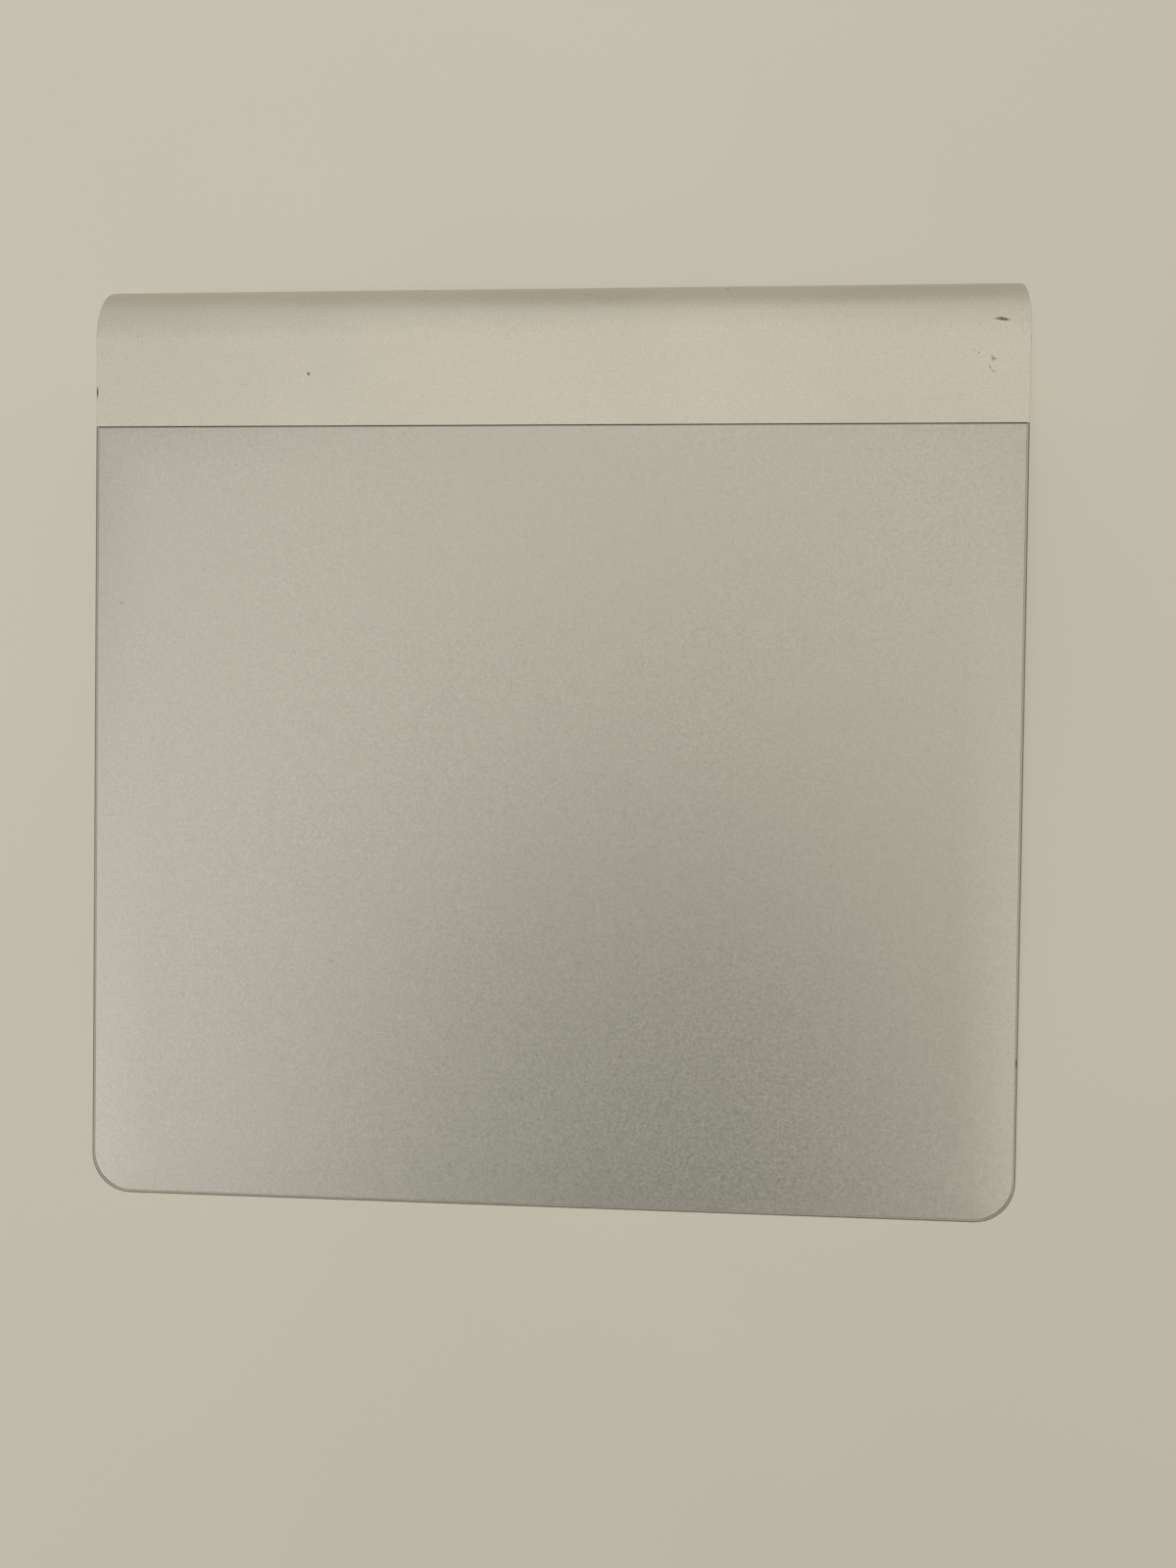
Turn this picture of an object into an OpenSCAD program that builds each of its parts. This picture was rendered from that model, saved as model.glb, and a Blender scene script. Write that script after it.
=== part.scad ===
// Wireless desk trackpad: an aluminium tray that slopes forward from a round battery tube, a satin touch
// plate on top, and a rocker under it that lets the two front feet click. X runs across, Y runs back from
// the user, Z is up, and the origin is on the desk under the middle of the body. All sizes are millimetres.

/* [Body] */
// Depth of the body from its front edge to the back of the battery tube
body_d = 131; // [115:0.5:170]
// Height of the touch surface above the desk at the front edge
front_h = 6.8; // [6.6:0.1:9]
// Radius of the two front corners seen from above
corner_r = 5.6; // [4.6:0.1:12]
// Width of the tray's side and front walls
wall_t = 3.0; // [2.6:0.1:3.6]
// Size of the turned-in lower edge of the tray
edge_r = 0.8; // [0.3:0.05:0.9]
// Thickness of the tray floor
floor_t = 0.8; // [0.7:0.05:1.2]
// Room under the tray floor for the board and the rocker
cavity_h = 2.2; // [2.1:0.05:2.8]
// Radius of the hollow blend between tray and tube
blend_r = 2.5; // [1:0.1:4]

/* [Touch plate] */
// Thickness of the touch plate
plate_t = 1.0; // [0.7:0.05:1.4]
// Width of the aluminium lip that shows round the plate
lip_w = 0.35; // [0.3:0.05:0.8]
// Gap between the plate and the lip
plate_gap = 0.12; // [0.06:0.01:0.2]
// Depth of the aluminium band behind the plate, seen from above
band_d = 22.3; // [21.5:0.1:30]
// Gap between the plate's rear edge and the band
seam_gap = 0.25; // [0.1:0.05:0.5]
// Chamfer round the plate's upper edge
plate_edge = 0.1; // [0.05:0.01:0.2]
// Thickness of the adhesive tapes
tape_t = 0.15; // [0.08:0.01:0.25]
// Thickness of the sensor board under the plate
sensor_t = 0.6; // [0.4:0.05:0.8]

/* [Bottom cover] */
// Thickness of the bottom cover
cover_t = 1.0; // [0.8:0.05:1.2]
// Width of the aluminium lip round the cover
cover_margin = 1.2; // [1:0.05:1.6]
// Gap between the cover and the lip
cover_gap = 0.12; // [0.05:0.01:0.25]
// Thickness of the ribs inside the cover
rib_t = 0.9; // [0.6:0.1:1.5]
// Height of the ribs inside the cover
rib_h = 1.3; // [0.6:0.1:1.5]

/* [Battery tube] */
// Diameter of one cell
cell_d = 14.5; // [13.8:0.1:16]
// Length of one cell over its nub
cell_l = 50.5; // [44:0.1:58]
// Thickness of the bulkhead behind the cells, which sets how much longer than its cells the body is
bulkhead_t = 5.3; // [2:0.1:20]
// Clearance between a cell and the liner
cell_gap = 0.25; // [0.15:0.05:0.5]
// Wall of the insulating liner
liner_t = 0.4; // [0.3:0.05:0.6]
// Glue gap between a lining piece and the tube's bore
bore_gap = 0.1; // [0.05:0.01:0.15]
// Wall of the aluminium tube
tube_wall = 1.1; // [1:0.05:1.6]
// Step from the tube's end faces in to the tray's sides
flank_step = 0.05; // [0.03:0.01:0.1]
// Height of the tube's underside above the desk
tube_lift = 0.6; // [0.4:0.05:1.5]

/* [Battery cap] */
// Length of the screw cap
cap_l = 7.0; // [6.6:0.1:7.4]
// Thickness of the cap's outer face
cap_face_t = 3.0; // [2.6:0.1:3.2]
// Wall round the cap's inner cup
cap_wall = 1.6; // [1.2:0.1:2]
// Width of the coin slot
coin_slot_w = 1.8; // [1.4:0.1:2.4]
// Depth of the coin slot at its middle
coin_slot_d = 1.6; // [1:0.1:1.9]
// Diameter of the coin that fits the slot
coin_d = 20; // [17:0.5:26]

/* [Power button] */
// Diameter of the power button
button_d = 8.8; // [7:0.1:9.4]
// Gap round the power button
button_gap = 0.15; // [0.1:0.01:0.25]
// Travel of the power button
press_travel = 0.5; // [0.3:0.05:0.8]
// Depth of the hollow in the button's face
button_dish = 0.4; // [0.1:0.05:0.8]
// Thickness of the end plug's ring
plug_t = 4.0; // [3:0.1:4.5]
// Length of the plug's skirt that clamps the power board
skirt_l = 8.0; // [7.4:0.1:8.4]
// Wall of the plug's skirt
skirt_t = 1.2; // [1:0.05:1.4]

/* [Feet] */
// Diameter of a front foot
foot_d = 8.0; // [6:0.1:9]
// Distance of a front foot from the end of the body
foot_inset = 15; // [12:0.5:20]
// Distance of the front feet from the front edge, along the slope
foot_v = 8.5; // [8:0.1:11]
// Clearance round a front foot in the bottom cover
foot_gap = 0.4; // [0.3:0.05:0.6]
// Chamfer round the underside of every foot
foot_edge = 0.3; // [0.1:0.05:0.5]
// Length of a rear foot
pad_l = 14; // [10:0.5:20]
// Width of a rear foot
pad_w = 4.2; // [3:0.1:4.4]
// Depth of the flat that a rear foot sits on
pad_sink = 0.3; // [0.3:0.01:0.45]
// Distance of a rear foot from the end of the body
pad_inset = 20; // [13:0.5:35]

/* [Click rocker] */
// Travel of the front feet in a click
click_travel = 0.4; // [0.25:0.05:0.5]
// Distance of the rocker's hinge line from the front edge, along the slope
pivot_v = 31; // [28:0.5:40]
// Distance of the click switch from the front edge, along the slope
switch_v = 19; // [18:0.5:22]
// Thickness of the rocker's sheet steel
bar_t = 0.5; // [0.4:0.05:0.6]
// Width of the rocker's cross strip
strip_w = 7; // [6:0.1:8]
// Distance of a rocker arm from the front foot beside it
arm_inset = 16; // [12:0.5:18]
// Width of a rocker arm
arm_w = 6; // [5.2:0.1:8]
// Diameter of a hinge pin
pin_d = 1.0; // [0.8:0.05:1.1]
// Running clearance round a hinge pin
pin_gap = 0.05; // [0.03:0.01:0.08]
// Wall of a hinge knuckle
knuckle_t = 0.3; // [0.2:0.02:0.35]
// Width of a hinge knuckle
knuckle_w = 3.6; // [3:0.1:4.4]
// Side play of a knuckle between the bracket's ears
ear_gap = 0.2; // [0.1:0.05:0.4]
// Thickness of a bracket's sheet metal
bracket_t = 0.4; // [0.3:0.05:0.5]
// Gap between the click plunger and the rocker at rest
click_gap = 0.05; // [0.03:0.01:0.1]
// Distance of a leaf spring from the middle
spring_x = 22; // [12:0.5:26]

/* [Boards] */
// Reach of the logic board to the left of the click ribbon
board_lap = 12; // [8:0.5:20]
// Depth of the logic board
board_d = 19; // [17:0.5:24]
// Thickness of the circuit boards
board_t = 0.8; // [0.6:0.05:0.9]
// Height of the chips on the logic board
chip_h = 0.7; // [0.4:0.05:0.8]
// Distance of the sensor ribbon from the right end of the logic board
flex_inset = 34; // [31:0.5:38]
// Width of the sensor ribbon
flex_w = 12; // [8:0.5:13]
// Thickness of the ribbons
flex_t = 0.12; // [0.08:0.01:0.16]

/* [Hidden] */
$fn = 64;
// Overlap that joins two solids of one piece, and overshoot of a cut
bite = 0.5;

// Battery tube: bore, outside and axis
bore_d = cell_d + 2 * (cell_gap + liner_t + bore_gap);
tube_d = bore_d + 2 * tube_wall;
tube_r = tube_d / 2;
tube_y = body_d / 2 - tube_r;
tube_z = tube_lift + tube_r;

// Length of the tube: cap and its contact, two cells, other contact, bulkhead, power board, skirt and plug
insert_proud = 0.6;
swivel_gap = 0.05;
touch_gap = 0.05;
leaf_plate_t = 0.4;
contact_rise = 1.9;
dimple_h = 0.5;
cap_end = cap_l + insert_proud + swivel_gap + leaf_plate_t + contact_rise + touch_gap;
power_end = dimple_h + leaf_plate_t + bulkhead_t + board_t + skirt_l + plug_t;
body_w = cap_end + 2 * cell_l + power_end;
end_x = body_w / 2;
tray_x = end_x - flank_step;

// Slope of the touch surface: the plane through the front edge that dips a hair into the top of the tube
tube_proud = 0.004;
plane_r = tube_r - tube_proud;
tube_run = tube_y + body_d / 2;
tube_reach = norm([tube_run, tube_z - front_h]);
slope = atan((tube_z - front_h) / tube_run) + asin(plane_r / tube_reach);
tube_v = sqrt(tube_reach * tube_reach - plane_r * plane_r);

// Depths below the touch surface
flex_room = 0.08;
sensor_gap = flex_t + flex_room;
rim_depth = plate_t + tape_t;
sensor_depth = plate_t + sensor_t;
floor_top = sensor_depth + sensor_gap;
floor_under = floor_top + floor_t;
cover_top = floor_under + cavity_h;
ledge_depth = cover_top - tape_t;
slab_t = cover_top + cover_t;
edge_turn = 30;

// Places along the slope, measured from the front edge of the touch surface
plate_inset = lip_w + plate_gap;
seam_v = (body_d - band_d) / cos(slope);
plate_end = seam_v - seam_gap;
blend_z = plane_r - slab_t - blend_r;
blend_reach = tube_r + blend_r;
blend_run = sqrt(blend_reach * blend_reach - blend_z * blend_z);
blend_v = tube_v - blend_run;
cover_lip = 0.8;
cover_end = blend_v - cover_lip;
ledge_w = 2.0;
web_v = min(seam_v, cover_end) - ledge_w;

// Rocker: hinge height, steel and switch stack
hinge_share = 0.525;
pivot_depth = floor_under + cavity_h * hinge_share;
bar_top = pivot_depth - bar_t / 2;
bar_under = pivot_depth + bar_t / 2;
knuckle_r = pin_d / 2 + pin_gap + knuckle_t;
ear_share = 1.5;
ear_t = bracket_t * ear_share;
ear_r = knuckle_r - pin_gap;
click_stroke = click_travel * (pivot_v - switch_v) / (pivot_v - foot_v);
stroke_spare = 0.08;
plunger_h = click_stroke + stroke_spare;
plunger_d = 2.4;
well_floor = 0.05;
switch_w = 4.6;
switch_top = floor_under + flex_t;
switch_under = bar_top - click_gap - plunger_h;
tongue_w = 9;
foot_x = end_x - foot_inset;
arm_x = foot_x - arm_inset;
tab_rim = 0.6;
tab_r = foot_d / 2 + tab_rim;
flange_h = 0.4;
foot_y = -body_d / 2 + foot_v * cos(slope) + bar_under * sin(slope);
stop_w = 4;
pad_x = end_x - pad_inset;

// Leaf springs and small screws
leaf_t = 0.15;
leaf_w = 4;
leaf_gap = 0.02;
leaf_offset = 5;
leaf_root = switch_v + leaf_offset;
leaf_tab = 4;
leaf_lap = 1.5;
leaf_tip = foot_v + strip_w / 2 - leaf_lap;
screw_d = 1.2;
screw_head_d = 2.2;
screw_head_h = 0.35;
screw_bite = 0.5;
bracket_reach = 7;
bracket_w = knuckle_w + 2 * (ear_gap + ear_t);
bracket_clear = 0.4;
bracket_back = pivot_v + knuckle_r + bracket_clear;
screw_spread = 2.6;
bracket_screw_v = bracket_back + bracket_reach - screw_spread;
bracket_holes = [for (s = [-1, 1], k = [-1, 1]) [s * arm_x + k * screw_spread / 2, bracket_screw_v]];
leaf_holes = [for (s = [-1, 1]) [s * spring_x, leaf_root + leaf_tab / 2]];
mechanism_holes = concat(bracket_holes, leaf_holes);

// Battery room, from the cap at the left end to the bulkhead
cap_d = bore_d - 2 * bore_gap;
cup_d = cap_d - 2 * cap_wall;
cap_x = -end_x + cap_l;
insert_x0 = -end_x + cap_face_t;
insert_x1 = cap_x + insert_proud;
stem_d = 3;
rivet_d = 5;
rivet_t = 0.6;
rivet_play = 0.2;
rivet_room = rivet_t + rivet_play;
contact_d = 9;
contact_tip_d = 5;
cells_x0 = cap_end - end_x;
cells_x1 = cells_x0 + 2 * cell_l;
nub_d = 5.4;
nub_h = 1.2;
shoulder = 0.7;
crimp_h = 0.25;
crimp_w = 0.3;
crimp_back = 1.8;

// Power end, from the bulkhead to the right end
plug_x = end_x - plug_t;
power_x = plug_x - skirt_l;
plug_d = bore_d - bore_gap;
skirt_d = plug_d - 2 * skirt_t;
dimple_d = 4;
bulkhead_x0 = cells_x1 + dimple_h + leaf_plate_t;
bulkhead_x1 = bulkhead_x0 + bulkhead_t;
tail_d = 1.6;
tail_gap = 0.2;
power_switch_w = 5.2;
power_switch_h = 1.6;
power_plunger_d = 2.6;
press_spare = 0.3;
power_plunger_h = press_travel + press_spare;
boss_d = 3.2;
boss_x = power_x + power_switch_h + power_plunger_h + touch_gap;
flange_lip = 1.1;
flange_d = button_d + 2 * flange_lip;
flange_t = 1.2;
flange_x = plug_x - touch_gap;
face_set = 0.1;
led_l = 2;
led_w = 1.2;
led_h = 0.8;
led_z = 4.6;
pipe_d = 1.3;
pipe_gap = 0.12;
pipe_x = power_x + led_l - pipe_d / 2;
pipe_skin = 0.3;

// Logic board and ribbons
board_clear = 2;
board_x1 = end_x - wall_t - board_clear;
board_x0 = -board_lap;
board_w = board_x1 - board_x0;
board_gap = 1;
board_back = web_v - board_gap;
board_front = board_back - board_d;
standoff_h = 0.3;
standoff_d = 3.2;
board_top = floor_under + standoff_h;
board_under = board_top + board_t;
board_inset = 2.8;
board_holes = [[board_x0 + board_inset, board_front + board_inset],
  [board_x1 - board_inset, board_front + board_inset],
  [board_x0 + board_inset, board_back - board_inset]];
flex_x = board_x1 - flex_inset;
socket_cheek = 1;
socket_w = flex_w + 2 * socket_cheek;
socket_d = 3.5;
socket_h = 0.8;
socket_inset = 1.2;
socket_v = board_front + socket_inset;
mouth_depth = board_under + socket_h / 2;
mouth_gap = 0.03;
mouth_in = 1.6;
bend_r = 0.5;
slot_lead = 3;
slot_v = board_front - slot_lead;
slot_room = 0.4;
flex_tail = 6;
lead_w = 3;
lead_t = 0.15;
lead_share = 0.6;
lead_depth = rim_depth + (ledge_depth - rim_depth) * lead_share;
lead_room = 0.45;
lead_x = power_x + lead_w / 2;
lead_pad = 5;
can_t = 0.2;
can_h = 0.9;
can_w = 14;
can_d = 11;
can_share = 0.08;
can_x = board_x0 + can_share * board_w;
can_v = (board_front + board_back - can_d) / 2;
vent_d = 1;
antenna_t = 0.2;
antenna_h = 0.8;
antenna_w = 12;
antenna_d = 3;
antenna_strip = 1.4;
antenna_gap = 1;
antenna_x = flex_x + socket_w / 2 + antenna_gap;
antenna_v = board_front + antenna_gap;
chip_unit = 1;

// Places children in the frame of the touch surface: x across, y back along the slope, z square to it
module on_slab() {
  translate([0, -body_d / 2, front_h]) rotate([slope, 0, 0]) children();
}

// A flat outline made solid between two depths below the touch surface
module layer(from, to) {
  on_slab() translate([0, 0, -to]) linear_extrude(to - from) children();
}

// A profile in the side view of the slope, carried across from x0 to x1
module across(x0, x1) {
  on_slab() translate([x0, 0, 0]) rotate([90, 0, 90]) linear_extrude(x1 - x0) children();
}

// Places children on the axis of the battery tube
module on_tube() {
  translate([0, tube_y, tube_z]) children();
}

// A round bar on the tube's axis
module tube_bar(x0, x1, d) {
  on_tube() translate([x0, 0, 0]) rotate([0, 90, 0]) cylinder(h = x1 - x0, d = d);
}

// A profile turned round the tube's axis: its x is the radius, its y runs to the right from x0
module turned(x0) {
  on_tube() translate([x0, 0, 0]) rotate([0, 90, 0]) rotate_extrude() children();
}

// Outline of the tray seen square to the touch surface: round front corners, cut straight at v_end
module tray_shape(inset, v_end) {
  side = tray_x - inset;
  corner_x = tray_x - corner_r;
  translate([-side, corner_r]) square([2 * side, v_end - corner_r]);
  translate([-corner_x, inset]) square([2 * corner_x, corner_r]);
  for (s = [-1, 1]) translate([s * corner_x, corner_r]) circle(corner_r - inset);
}

// A solid of the tray's outline with an edge worked into its left, front and right. The children are its
// section from left to right, its section from front to back, and the section through a corner's axis.
module tray_block(v_end) {
  corner_x = tray_x - corner_r;
  on_slab() translate([0, v_end, 0]) rotate([90, 0, 0]) linear_extrude(v_end - corner_r) children(0);
  across(-corner_x, corner_x) children(1);
  on_slab() for (s = [-1, 1]) translate([s * corner_x, corner_r, 0]) rotate_extrude() intersection() {
    children(2);
    translate([0, -slab_t]) square([corner_r, slab_t]);
  }
}

// A small screw from below: head under the seat, shank up into the tray floor
module floor_screw(x, v, seat) {
  layer(seat, seat + screw_head_h) translate([x, v]) circle(d = screw_head_d);
  layer(floor_under - screw_bite, seat + screw_head_h / 2) translate([x, v]) circle(d = screw_d);
}

// Section of the tray from x0 to x1: square upper edges, lower edges turned in three flats
module tray_section(x0, x1) {
  near = edge_r * (1 - cos(edge_turn));
  far = edge_r * (1 - sin(edge_turn));
  low = -slab_t;
  polygon([[x0, 0], [x0, low + edge_r], [x0 + near, low + far], [x0 + far, low + near],
    [x0 + edge_r, low], [x1 - edge_r, low], [x1 - far, low + near], [x1 - near, low + far],
    [x1, low + edge_r], [x1, 0]]);
}

// Section of the touch plate from x0 to x1: chamfered upper edges
module plate_section(x0, x1) {
  polygon([[x0, -plate_t], [x0, -plate_edge], [x0 + plate_edge, 0], [x1 - plate_edge, 0], [x1, -plate_edge],
    [x1, -plate_t]]);
}

// Hollow blend between the underside of the tray and the tube
module blend_profile() {
  difference() {
    polygon([[blend_v, -slab_t], [blend_v, bite - slab_t], [tube_v, bite - slab_t],
      [tube_v - blend_run * tube_r / blend_reach, blend_z * tube_r / blend_reach - plane_r]]);
    translate([blend_v, -slab_t - blend_r]) circle(blend_r);
  }
}

// Passage for the power ribbon through the web, the tube wall and the plug's skirt
module lead_passage(v0, v1) {
  layer(lead_depth - lead_room, lead_depth + lead_room)
    translate([lead_x - lead_w / 2 - lead_room, v0]) square([lead_w + 2 * lead_room, v1 - v0]);
}

// Slot in the tray floor for the sensor ribbon
module flex_slot() {
  layer(floor_top - bite, floor_under + bite)
    translate([flex_x - flex_w / 2 - slot_room, slot_v - bend_r - slot_room])
    square([flex_w + 2 * slot_room, bend_r + 2 * slot_room]);
}

// Screw holes from below into the tray floor
module floor_holes(places, from) {
  for (p = places) layer(floor_under - screw_bite, from + bite) translate(p) circle(d = screw_d);
}

// Room for the light pipe, upright from the power board to just under the tube's skin
module pipe_room(top) {
  on_tube() translate([pipe_x, 0, 0]) cylinder(h = top, d = pipe_d + 2 * pipe_gap);
}

module housing() {
  inner_x = tray_x - cover_margin;
  color([0.78, 0.76, 0.70]) difference() {
    union() {
      difference() {
        tray_block(tube_v) {
          tray_section(-tray_x, tray_x);
          tray_section(0, tube_v);
          tray_section(-corner_r, corner_r);
        }
        layer(-bite, rim_depth) tray_shape(lip_w, seam_v);
        layer(rim_depth - bite, floor_top) tray_shape(wall_t, web_v);
        layer(floor_under, ledge_depth + bite) tray_shape(wall_t, web_v);
        layer(ledge_depth, slab_t + bite) tray_shape(cover_margin, cover_end);
      }
      tube_bar(-end_x, end_x, tube_d);
      across(-inner_x, inner_x) blend_profile();
      for (p = board_holes) layer(floor_under - bite, board_top) translate(p) circle(d = standoff_d);
    }
    tube_bar(-end_x - bite, end_x + bite, bore_d);
    flex_slot();
    lead_passage(web_v - bite, tube_v - lead_w);
    pipe_room(tube_r - pipe_skin);
    for (s = [-1, 1]) translate([s * pad_x - pad_l / 2 - bite, tube_y - tube_r, 0])
      cube([pad_l + 2 * bite, tube_d, tube_lift + pad_sink]);
    floor_holes(board_holes, board_top);
    floor_holes(mechanism_holes, floor_under);
  }
}

module touch_plate() {
  side = tray_x - plate_inset;
  round = corner_r - plate_inset;
  color([0.70, 0.69, 0.63]) difference() {
    tray_block(plate_end) {
      plate_section(-side, side);
      plate_section(plate_inset, plate_end);
      plate_section(-round, round);
    }
    across(-end_x, end_x)
      polygon([[plate_end - plate_edge, 0], [plate_end, -plate_edge], [plate_end + bite, -plate_edge],
        [plate_end + bite, bite], [plate_end - plate_edge, bite]]);
  }
}

module plate_tape() {
  color([0.12, 0.12, 0.12]) layer(plate_t, rim_depth) difference() {
    tray_shape(plate_inset + tape_t, plate_end - tape_t);
    tray_shape(wall_t - tape_t, web_v + tape_t);
  }
}

module sensor_board() {
  color([0.12, 0.30, 0.20]) layer(plate_t, sensor_depth) tray_shape(wall_t + bite, web_v - bite);
}

// Quarter of a ribbon's bend, between the quadrant's two axes
module ribbon_bend(quadrant) {
  intersection() {
    difference() {
      circle(bend_r + flex_t / 2);
      circle(bend_r - flex_t / 2);
    }
    rotate(quadrant * 90) square(2 * bend_r);
  }
}

module sensor_flex() {
  upper = -sensor_depth - flex_t / 2;
  lower = -mouth_depth;
  color([0.75, 0.48, 0.15]) across(flex_x - flex_w / 2, flex_x + flex_w / 2) {
    translate([slot_v - bend_r - flex_tail, upper - flex_t / 2]) square([flex_tail, flex_t]);
    translate([slot_v - bend_r, upper - bend_r]) ribbon_bend(0);
    translate([slot_v - flex_t / 2, lower + bend_r]) square([flex_t, upper - lower - 2 * bend_r]);
    translate([slot_v + bend_r, lower + bend_r]) ribbon_bend(2);
    translate([slot_v + bend_r, lower - flex_t / 2]) square([socket_v + mouth_in - slot_v - bend_r, flex_t]);
  }
}

module bottom_cover() {
  edge = cover_margin + cover_gap;
  rib_x = foot_x;
  stop_h = cover_top - bar_under - click_gap;
  rib_clear = 6;
  rib_from = bracket_back + bracket_reach + rib_clear;
  rib_to = slot_v - bend_r - flex_tail - rib_clear / 2;
  color([0.92, 0.92, 0.90]) difference() {
    union() {
      layer(cover_top, slab_t) tray_shape(edge, cover_end - cover_gap);
      for (i = [0:2]) layer(cover_top - rib_h, cover_top + cover_t / 2)
        translate([-rib_x, rib_from + i * (rib_to - rib_from) / 2]) square([2 * rib_x, rib_t]);
      for (s = [-1, 1]) layer(cover_top - stop_h, cover_top + cover_t / 2)
        translate([s * arm_x - stop_w / 2, foot_v - stop_w / 2 + flange_h]) square(stop_w);
    }
    for (s = [-1, 1]) translate([s * foot_x, foot_y, 0]) cylinder(h = tube_d, d = foot_d + 2 * foot_gap);
  }
}

module cover_tape() {
  color([0.12, 0.12, 0.12]) layer(ledge_depth, cover_top) difference() {
    tray_shape(cover_margin + cover_gap + tape_t, cover_end - cover_gap - tape_t);
    tray_shape(wall_t - tape_t, web_v + tape_t);
  }
}

// Rear foot: a pad with round ends and a chamfer round its underside
module rear_foot(side) {
  r = pad_w / 2;
  half = pad_l / 2 - r;
  top = tube_lift + pad_sink;
  color([0.20, 0.20, 0.20]) translate([side * pad_x, tube_y, 0]) {
    for (s = [-1, 1]) translate([s * half, 0, 0]) rotate_extrude()
      polygon([[0, 0], [r - foot_edge, 0], [r, foot_edge], [r, top], [0, top]]);
    translate([-half, 0, 0]) rotate([90, 0, 90]) linear_extrude(2 * half)
      polygon([[foot_edge - r, 0], [r - foot_edge, 0], [r, foot_edge], [r, top], [-r, top], [-r, foot_edge]]);
  }
}

module battery_liner() {
  color([0.85, 0.85, 0.82]) difference() {
    tube_bar(insert_x1, bulkhead_x0, bore_d - 2 * bore_gap);
    tube_bar(insert_x1 - bite, bulkhead_x0 + bite, cell_d + 2 * cell_gap);
  }
}

// One cell: flat end to the left, nub to the right, crimped groove below the shoulder
module cell(x0) {
  r = cell_d / 2;
  can = cell_l - nub_h;
  groove = can - crimp_back;
  color([0.25, 0.35, 0.30]) turned(x0)
    polygon([[0, 0], [r - shoulder, 0], [r, shoulder], [r, groove - crimp_w], [r - crimp_h, groove],
      [r, groove + crimp_w], [r, can - shoulder], [r - shoulder, can], [nub_d / 2, can],
      [nub_d / 2, cell_l - crimp_h], [nub_d / 2 - crimp_h, cell_l], [0, cell_l]]);
}

module bulkhead() {
  recess = 1;
  color([0.15, 0.15, 0.16]) difference() {
    tube_bar(bulkhead_x0, bulkhead_x1, plug_d);
    tube_bar(bulkhead_x0 - bite, bulkhead_x1 + bite, tail_d + 2 * tail_gap);
    tube_bar(bulkhead_x1 - recess, bulkhead_x1 + bite, skirt_d);
  }
}

module positive_contact() {
  tail = bulkhead_x1 - cells_x1;
  back = dimple_h + leaf_plate_t;
  color([0.80, 0.72, 0.45]) turned(cells_x1)
    polygon([[0, 0], [dimple_d / 2 - dimple_h, 0], [dimple_d / 2, dimple_h], [contact_d / 2, dimple_h],
      [contact_d / 2, back], [tail_d / 2, back], [tail_d / 2, tail], [0, tail]]);
}

module power_board() {
  key_w = 3;
  color([0.10, 0.28, 0.20]) difference() {
    tube_bar(bulkhead_x1, power_x, plug_d);
    on_tube() translate([bulkhead_x1 - bite, -key_w / 2, -plug_d / 2 - bite])
      cube([board_t + 2 * bite, key_w, 2 * bite]);
  }
}

module power_switch() {
  w = power_switch_w;
  color([0.75, 0.75, 0.75]) difference() {
    on_tube() translate([power_x, -w / 2, -w / 2]) cube([power_switch_h, w, w]);
    tube_bar(power_x + touch_gap, power_x + power_switch_h + bite, power_plunger_d + 2 * swivel_gap);
  }
}

module power_plunger() {
  plunger_x = power_x + 2 * touch_gap + press_travel;
  color([0.15, 0.15, 0.15])
    tube_bar(plunger_x, power_x + power_switch_h + power_plunger_h, power_plunger_d);
}

module indicator_led() {
  color([0.60, 0.95, 0.60]) on_tube() translate([power_x, -led_w / 2, led_z]) cube([led_l, led_w, led_h]);
}

module light_pipe() {
  base = led_z + led_h;
  color([0.90, 0.95, 0.95]) on_tube() translate([pipe_x, 0, base])
    cylinder(h = tube_r - pipe_skin - base, d = pipe_d);
}

module power_ribbon() {
  start = board_back - lead_pad;
  stop = tube_v - lead_w / 2;
  color([0.75, 0.48, 0.15]) across(power_x, power_x + lead_w)
    polygon([[start, -board_under - lead_t], [start, -board_under], [board_back + lead_t, -board_under],
      [web_v, -lead_depth], [stop, -lead_depth], [stop, -lead_depth - lead_t],
      [web_v + lead_t, -lead_depth - lead_t], [board_back + 2 * lead_t, -board_under - lead_t]]);
}

module end_plug() {
  chamfer = 0.2;
  color([0.78, 0.76, 0.70]) difference() {
    tube_bar(power_x, end_x, plug_d);
    tube_bar(power_x - bite, plug_x, skirt_d);
    tube_bar(plug_x - bite, end_x + bite, button_d + 2 * button_gap);
    lead_passage(web_v, tube_v - lead_w / 2 + lead_room);
    pipe_room(tube_r);
    turned(end_x - chamfer)
      polygon([[0, 0], [button_d / 2 + button_gap, 0], [button_d / 2 + button_gap + bite, bite], [0, bite]]);
  }
}

module power_button() {
  face = end_x - face_set;
  dish_r = (button_d * button_d / 4 + button_dish * button_dish) / (2 * button_dish);
  dish_edge = 0.4;
  color([0.80, 0.78, 0.73]) difference() {
    union() {
      tube_bar(boss_x, flange_x, boss_d);
      tube_bar(flange_x - flange_t, flange_x, flange_d);
      tube_bar(flange_x - bite, face, button_d);
    }
    on_tube() translate([face + dish_r - button_dish + dish_edge * button_dish, 0, 0]) sphere(dish_r);
  }
}

module logic_board() {
  notch = 3;
  color([0.10, 0.28, 0.20]) layer(board_top, board_under) difference() {
    translate([board_x0, board_front]) square([board_w, board_d]);
    translate([board_x1 - notch, board_back - notch]) square(2 * notch);
    for (p = board_holes) translate(p) circle(d = screw_d);
  }
}

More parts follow.
